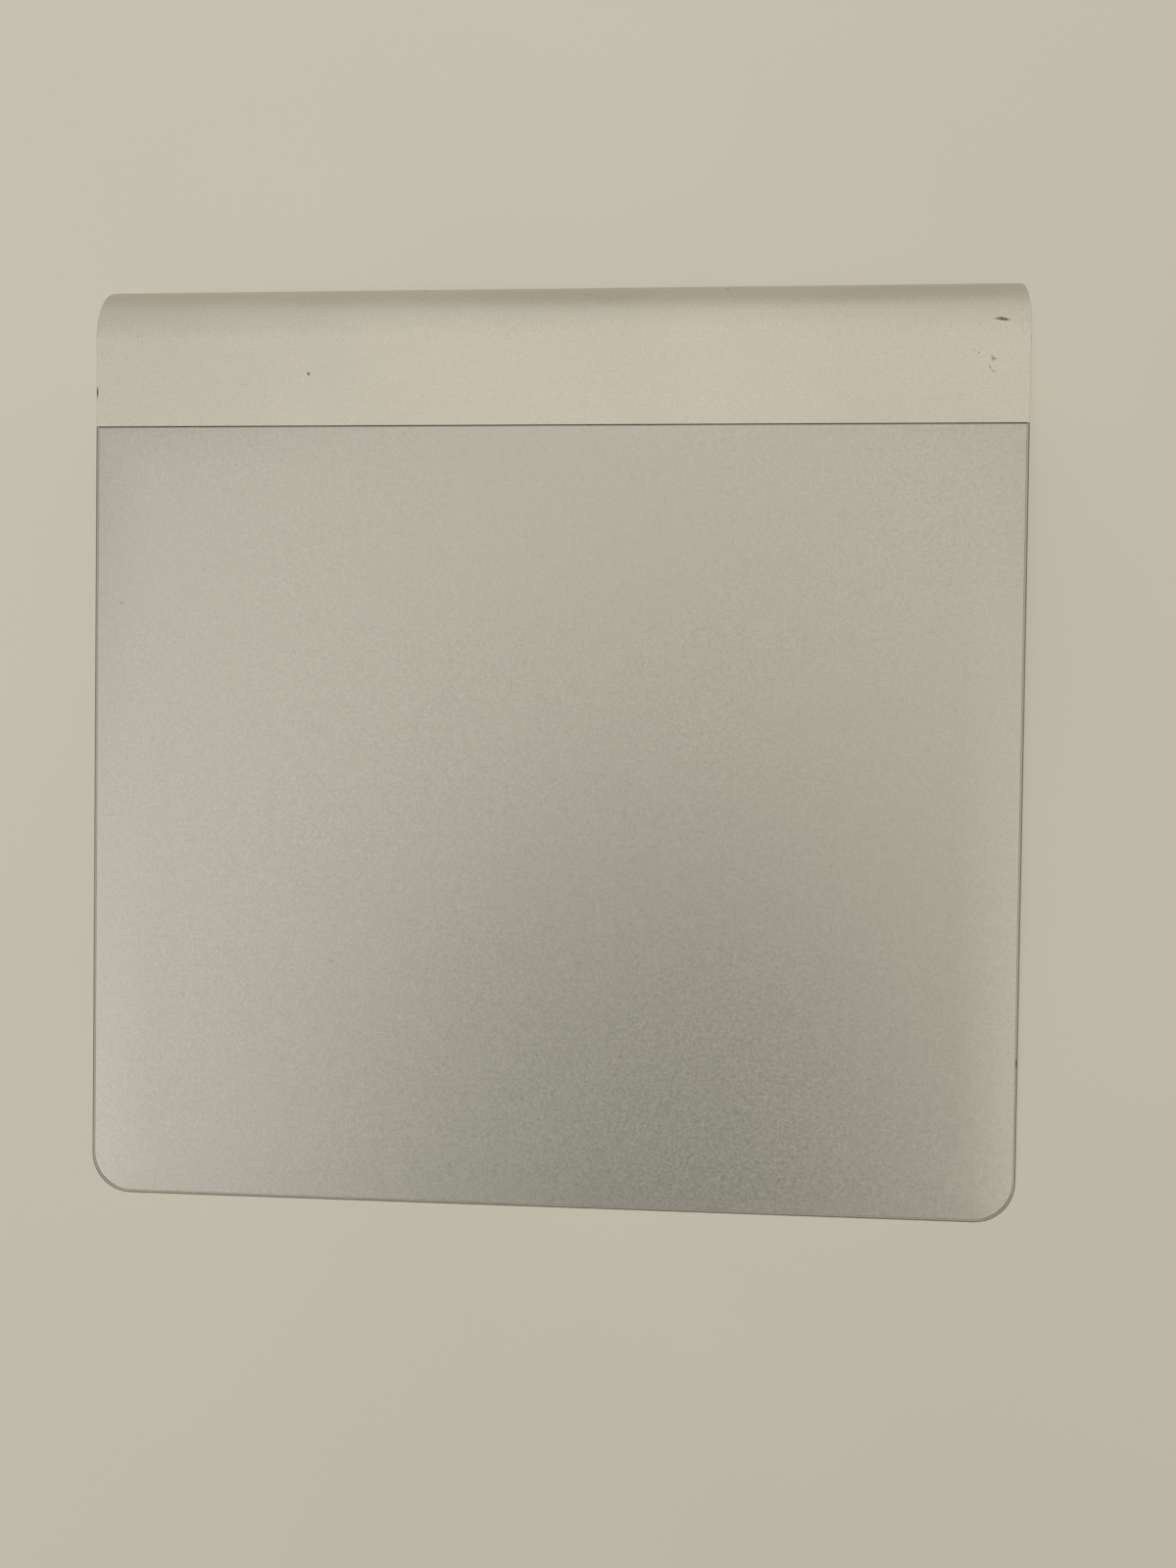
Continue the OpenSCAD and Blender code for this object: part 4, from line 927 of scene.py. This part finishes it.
class TRACKPAD_OT_stage(bpy.types.Operator):
    """Makes the floor, the light and the camera."""

    bl_idname = "trackpad.stage"
    bl_label = "Stage"

    def execute(self, context):
        stage = context.scene.trackpad_stage
        self.floor(stage)
        self.surroundings(context.scene, stage)
        self.lamp(stage)
        self.camera(context.scene, stage)
        context.scene.view_settings.view_transform = "Standard"
        return {"FINISHED"}

    def floor(self, stage):
        """A flat square on the desk plane, whose tone falls a little to the front right as painted light
        falloff.
        """
        line = np.linspace(-FLOOR_HALF, FLOOR_HALF, 5)
        x, y = np.meshgrid(line, line)
        corners, faces = sheet(np.stack([x, y, np.zeros_like(x)], axis=-1))
        mesh = bpy.data.meshes.new("floor")
        mesh.from_pydata(corners.tolist(), [], faces.tolist())
        floor = placed("floor", mesh)
        material, tree, shader, place = start("pale_floor")
        uneven = use(tree, soft_mottle, place, Size=0.07)["Tone"]
        x, y, _ = axes(tree, place)
        # Painted light falloff: the floor's colour darkens to the front right
        lean = sums(tree, "MULTIPLY_ADD", x, FLOOR_PAINTED_FALLOFF_X, y)
        lean = span(tree, lean, -FLOOR_PAINTED_FALLOFF_REACH, FLOOR_PAINTED_FALLOFF_REACH)
        colour = toned(tree, weigh(tree, uneven, 0.15, lean, 0.85), stage.floor, dark=0.9, light=1.06)
        close(tree, shader, colour, polish(tree, uneven, 0.62, 0.7), edge=False)
        mesh.materials.append(material)

    def surroundings(self, scene, stage):
        """A pale sky that leans in brightness and falls off low down, with one soft shade over the front,
        and is cooler to the left. Matt surfaces get a plain fill, and the camera a plain backdrop."""
        scene.world = bpy.data.worlds.new("studio")
        scene.world.use_nodes = True
        tree = scene.world.node_tree
        way = lay(tree, "TexCoord").outputs["Generated"]
        x, y, z = axes(tree, way)
        held = lay(tree, "CombineXYZ", {0: x, 1: sums(tree, "MINIMUM", y, stage.sky_hold), 2: z}).outputs[0]
        lean = measure(tree, "DOT_PRODUCT", held, stage.sky_lean)
        level = sums(tree, "MINIMUM", sums(tree, "ADD", lean, stage.sky), SKY_MOST)
        beside = sums(tree, "ABSOLUTE", sums(tree, "SUBTRACT", x, SKY_MIDDLE_X))
        behind = sums(tree, "MINIMUM", y, SKY_REAR_TO)
        out = sums(tree, "MULTIPLY_ADD", behind, SKY_REAR_COUNTS, beside)
        aim = Vector(stage.shade_way).normalized()
        off = arrows(tree, "MULTIPLY", arrows(tree, "SUBTRACT", way, aim), stage.shade_narrow)
        chords = [2 * math.sin(angle / 2) for angle in (stage.shade_core, stage.shade_reach)]
        fades = (
            span(tree, out, *OUT_FADE, 1.0, stage.horizon, smooth=True),
            span(tree, y, *FRONT_FADE, stage.horizon, 1.0, smooth=True),
            span(tree, y, *REAR_FADE, 1.0, REAR_TONE, smooth=True),
            span(tree, measure(tree, "LENGTH", off), *chords, smooth=True),
        )
        for fade in fades:
            level = sums(tree, "MULTIPLY", level, fade)
        path = lay(tree, "LightPath").outputs
        seen = sums(tree, "MAXIMUM", path["Is Glossy Ray"], path["Is Transmission Ray"])
        strength = lay(tree, "Mix", {0: seen, 2: stage.fill, 3: level}, data_type="FLOAT").outputs[0]
        inputs = {0: path["Is Camera Ray"], 2: strength, 3: stage.backdrop}
        strength = lay(tree, "Mix", inputs, data_type="FLOAT").outputs[0]
        colour = blend(tree, span(tree, x, *WINDOW_FADE), stage.window, stage.warmth)
        tree.links.new(strength, tree.nodes["Background"].inputs["Strength"])
        tree.links.new(colour, tree.nodes["Background"].inputs["Color"])

    def lamp(self, stage):
        """One soft, even light from overhead and a little to the front, which gloss doesn't show."""
        light = bpy.data.lights.new("overhead", "SUN")
        light.energy, light.angle, light.color = stage.key_level, stage.key_soft, stage.warmth
        lamp = placed("overhead", light)
        lamp.matrix_world = Vector(LAMP_FROM).to_track_quat("Z", "Y").to_matrix().to_4x4()
        lamp.visible_glossy = False

    def camera(self, scene, stage):
        """The camera of the photograph's viewing angle."""
        lens = bpy.data.cameras.new("camera")
        lens.lens, lens.sensor_width, lens.clip_start = stage.camera_lens, FRAME_HEIGHT, CAMERA_NEAR
        camera = placed("camera", lens)
        turn = Vector(stage.camera_turn)
        camera.matrix_world = Matrix.Translation(stage.camera_place) @ Matrix.Rotation(turn.length, 4, turn)
        scene.camera = camera


class TRACKPAD_OT_body(bpy.types.Operator):
    """Finishes the aluminium tray with its battery tube."""

    bl_idname = "trackpad.body"
    bl_label = "Body"

    def execute(self, context):
        dress(blasted_aluminium(context.scene.trackpad_finish), "housing")
        return {"FINISHED"}


class TRACKPAD_OT_touch_plate(bpy.types.Operator):
    """Shapes the touch plate and finishes the tape that holds it."""

    bl_idname = "trackpad.touch_plate"
    bl_label = "Touch plate"

    def execute(self, context):
        plate = etched_plate(context.scene.trackpad_pieces)
        satin = satin_plate(context.scene.trackpad_finish)
        stand_in(plate, "touch_plate", "chassis", satin)
        tape = grained("black_tape", (0.02, 0.02, 0.02), 0.75, size=0.0002, depth=0.00002, contrast=0.3)
        dress(tape, "plate_tape", "cover_tape")
        return {"FINISHED"}


class TRACKPAD_OT_bottom_cover(bpy.types.Operator):
    """Finishes the moulded bottom cover."""

    bl_idname = "trackpad.bottom_cover"
    bl_label = "Bottom cover"

    def execute(self, context):
        grain = {"size": 0.0004, "depth": 0.00003, "contrast": 0.03, "broad": 0.03, "dust": 0.03}
        dress(grained("moulded_cover", context.scene.trackpad_finish.cover, 0.44, **grain), "bottom_cover")
        return {"FINISHED"}


class TRACKPAD_OT_feet(bpy.types.Operator):
    """Moulds the four rubber feet."""

    bl_idname = "trackpad.feet"
    bl_label = "Feet"

    def execute(self, context):
        pieces = context.scene.trackpad_pieces
        foot_dimple, pad_dimple = 0.00012, 0.00008
        grain = {"size": 0.00025, "depth": 0.00003, "contrast": 0.25, "broad": 0.004, "dust": 0.15}
        rubber = grained("rubber", context.scene.trackpad_finish.rubber, 0.78, **grain, edge=False)
        for side in ("left", "right"):
            node = f"front_foot_{side}"
            foot = moulded_foot(node, f"{node}_moulded", pieces.foot_round, foot_dimple)
            stand_in(foot, node, "click_bar", rubber)
            node = f"rear_foot_{side}"
            pad = moulded_foot(node, f"{node}_moulded", pieces.pad_round, pad_dimple)
            stand_in(pad, node, "chassis", rubber)
        return {"FINISHED"}


class TRACKPAD_OT_battery_cap(bpy.types.Operator):
    """Cuts the threaded battery cap and finishes its insert and contact."""

    bl_idname = "trackpad.battery_cap"
    bl_label = "Battery cap"

    def execute(self, context):
        cap = threaded_cap(context.scene.trackpad_pieces)
        turned = turned_aluminium(context.scene.trackpad_finish)
        stand_in(cap, "battery_cap", "battery_cap", turned)
        black = grained("black_plastic", (0.03, 0.03, 0.03), 0.55, size=0.0003, depth=0.00002, contrast=0.2)
        dress(black, "cap_insert", "bulkhead", "click_plunger", "power_plunger")
        contact = brushed_metal("contact_metal", (0.70, 0.60, 0.36), 0.26)
        dress(contact, "cap_contact", "positive_contact", "antenna")
        return {"FINISHED"}


class TRACKPAD_OT_power_end(bpy.types.Operator):
    """Finishes the power end: plug, button and its small board."""

    bl_idname = "trackpad.power_end"
    bl_label = "Power end"

    def execute(self, context):
        dress(bpy.data.materials["turned_aluminium"], "end_plug", "power_button")
        dress(circuit_board("power_board", BOARD_MASK, BOARD_TRACK, 0.0005), "power_board")
        dress(clear_plastic(), "light_pipe")
        grain = {"size": 0.0001, "depth": 0.00001, "contrast": 0.12, "broad": 0.0008}
        dress(grained("lamp_body", (0.78, 0.70, 0.42), 0.35, **grain), "indicator_led")
        return {"FINISHED"}


class TRACKPAD_OT_battery_room(bpy.types.Operator):
    """Finishes the two cells and the liner round them."""

    bl_idname = "trackpad.battery_room"
    bl_label = "Battery room"

    def execute(self, context):
        for node in ("battery_left", "battery_right"):
            dress(cell_wrap(f"{node}_wrap", node), node)
        grain = {"size": 0.0005, "depth": 0.00001, "contrast": 0.06, "broad": 0.01, "edge": False}
        dress(grained("liner_film", (0.72, 0.72, 0.67), 0.38, **grain), "battery_liner")
        return {"FINISHED"}


class TRACKPAD_OT_boards(bpy.types.Operator):
    """Finishes the circuit boards, the parts on them and the ribbons."""

    bl_idname = "trackpad.boards"
    bl_label = "Boards and ribbons"

    def execute(self, context):
        dress(circuit_board("logic_board", BOARD_MASK, BOARD_TRACK, 0.0006), "logic_board")
        mask, copper = (0.012, 0.035, 0.03), (0.03, 0.085, 0.065)
        dress(circuit_board("sensor_board", mask, copper, 0.0042, electrodes=True), "sensor_board")
        grain = {"size": 0.00012, "depth": 0.00001, "contrast": 0.3, "broad": 0.002}
        dress(grained("chip_epoxy", (0.022, 0.022, 0.023), 0.5, **grain), "board_chips")
        grain = {"size": 0.00025, "depth": 0.00002, "contrast": 0.07, "broad": 0.002}
        dress(grained("connector_nylon", (0.66, 0.60, 0.45), 0.5, **grain), "flex_connector")
        dress(ribbon("wide_ribbon", 0.0008), "sensor_flex")
        dress(ribbon("narrow_ribbon", 0.0006), "click_flex", "power_ribbon")
        can = brushed_metal("tinned_can", (0.60, 0.60, 0.58), 0.34, pitch=0.0002, tarnish=0.2)
        dress(can, "shield_can")
        return {"FINISHED"}


class TRACKPAD_OT_rocker(bpy.types.Operator):
    """Finishes the click rocker: bar, hinges, flexing springs, screws and both switches."""

    bl_idname = "trackpad.rocker"
    bl_label = "Click rocker"

    def execute(self, context):
        sheet_steel = brushed_metal("sheet_steel", (0.52, 0.52, 0.52))
        dress(sheet_steel, "click_bar", "hinge_bracket_left", "hinge_bracket_right")
        spring_steel = brushed_metal("spring_steel", (0.42, 0.42, 0.43), 0.22)
        springs = leaf_springs()
        stand_in(springs, "return_springs", "chassis", spring_steel)
        dress(spring_steel, "hinge_pins")
        dress(brushed_metal("screw_steel", (0.30, 0.30, 0.31)), "board_screws", "mechanism_screws")
        dress(brushed_metal("switch_steel", (0.56, 0.56, 0.55), 0.32), "click_switch", "power_switch")
        return {"FINISHED"}


OPERATORS = (
    TRACKPAD_OT_stage,
    TRACKPAD_OT_body,
    TRACKPAD_OT_touch_plate,
    TRACKPAD_OT_bottom_cover,
    TRACKPAD_OT_feet,
    TRACKPAD_OT_battery_cap,
    TRACKPAD_OT_power_end,
    TRACKPAD_OT_battery_room,
    TRACKPAD_OT_boards,
    TRACKPAD_OT_rocker,
)


class TRACKPAD_PT_looks(bpy.types.Panel):
    """Lists the trackpad's values and the steps that dress it."""

    bl_idname = "TRACKPAD_PT_looks"
    bl_label = "Desk trackpad"
    bl_space_type = "VIEW_3D"
    bl_region_type = "UI"
    bl_category = "Trackpad"

    def draw(self, context):
        scene = context.scene
        for group in (scene.trackpad_finish, scene.trackpad_pieces, scene.trackpad_stage):
            box = self.layout.box()
            for name in group.bl_rna.properties.keys():
                if name not in ("rna_type", "name"):
                    box.prop(group, name)
        for operator in OPERATORS:
            self.layout.operator(operator.bl_idname)


CLASSES = (TrackpadFinish, TrackpadPieces, TrackpadStage, *OPERATORS, TRACKPAD_PT_looks)


def register():
    """Registers the classes and hangs the three groups of values on the scene."""
    for kind in CLASSES:
        bpy.utils.register_class(kind)
    bpy.types.Scene.trackpad_finish = PointerProperty(type=TrackpadFinish)
    bpy.types.Scene.trackpad_pieces = PointerProperty(type=TrackpadPieces)
    bpy.types.Scene.trackpad_stage = PointerProperty(type=TrackpadStage)


def unregister():
    """Takes the values and the classes away again."""
    del bpy.types.Scene.trackpad_stage
    del bpy.types.Scene.trackpad_pieces
    del bpy.types.Scene.trackpad_finish
    for kind in reversed(CLASSES):
        bpy.utils.unregister_class(kind)


def main():
    """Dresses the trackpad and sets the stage."""
    register()
    for operator in OPERATORS:
        getattr(bpy.ops.trackpad, operator.bl_idname.split(".")[1])()


if __name__ == "__main__":
    main()
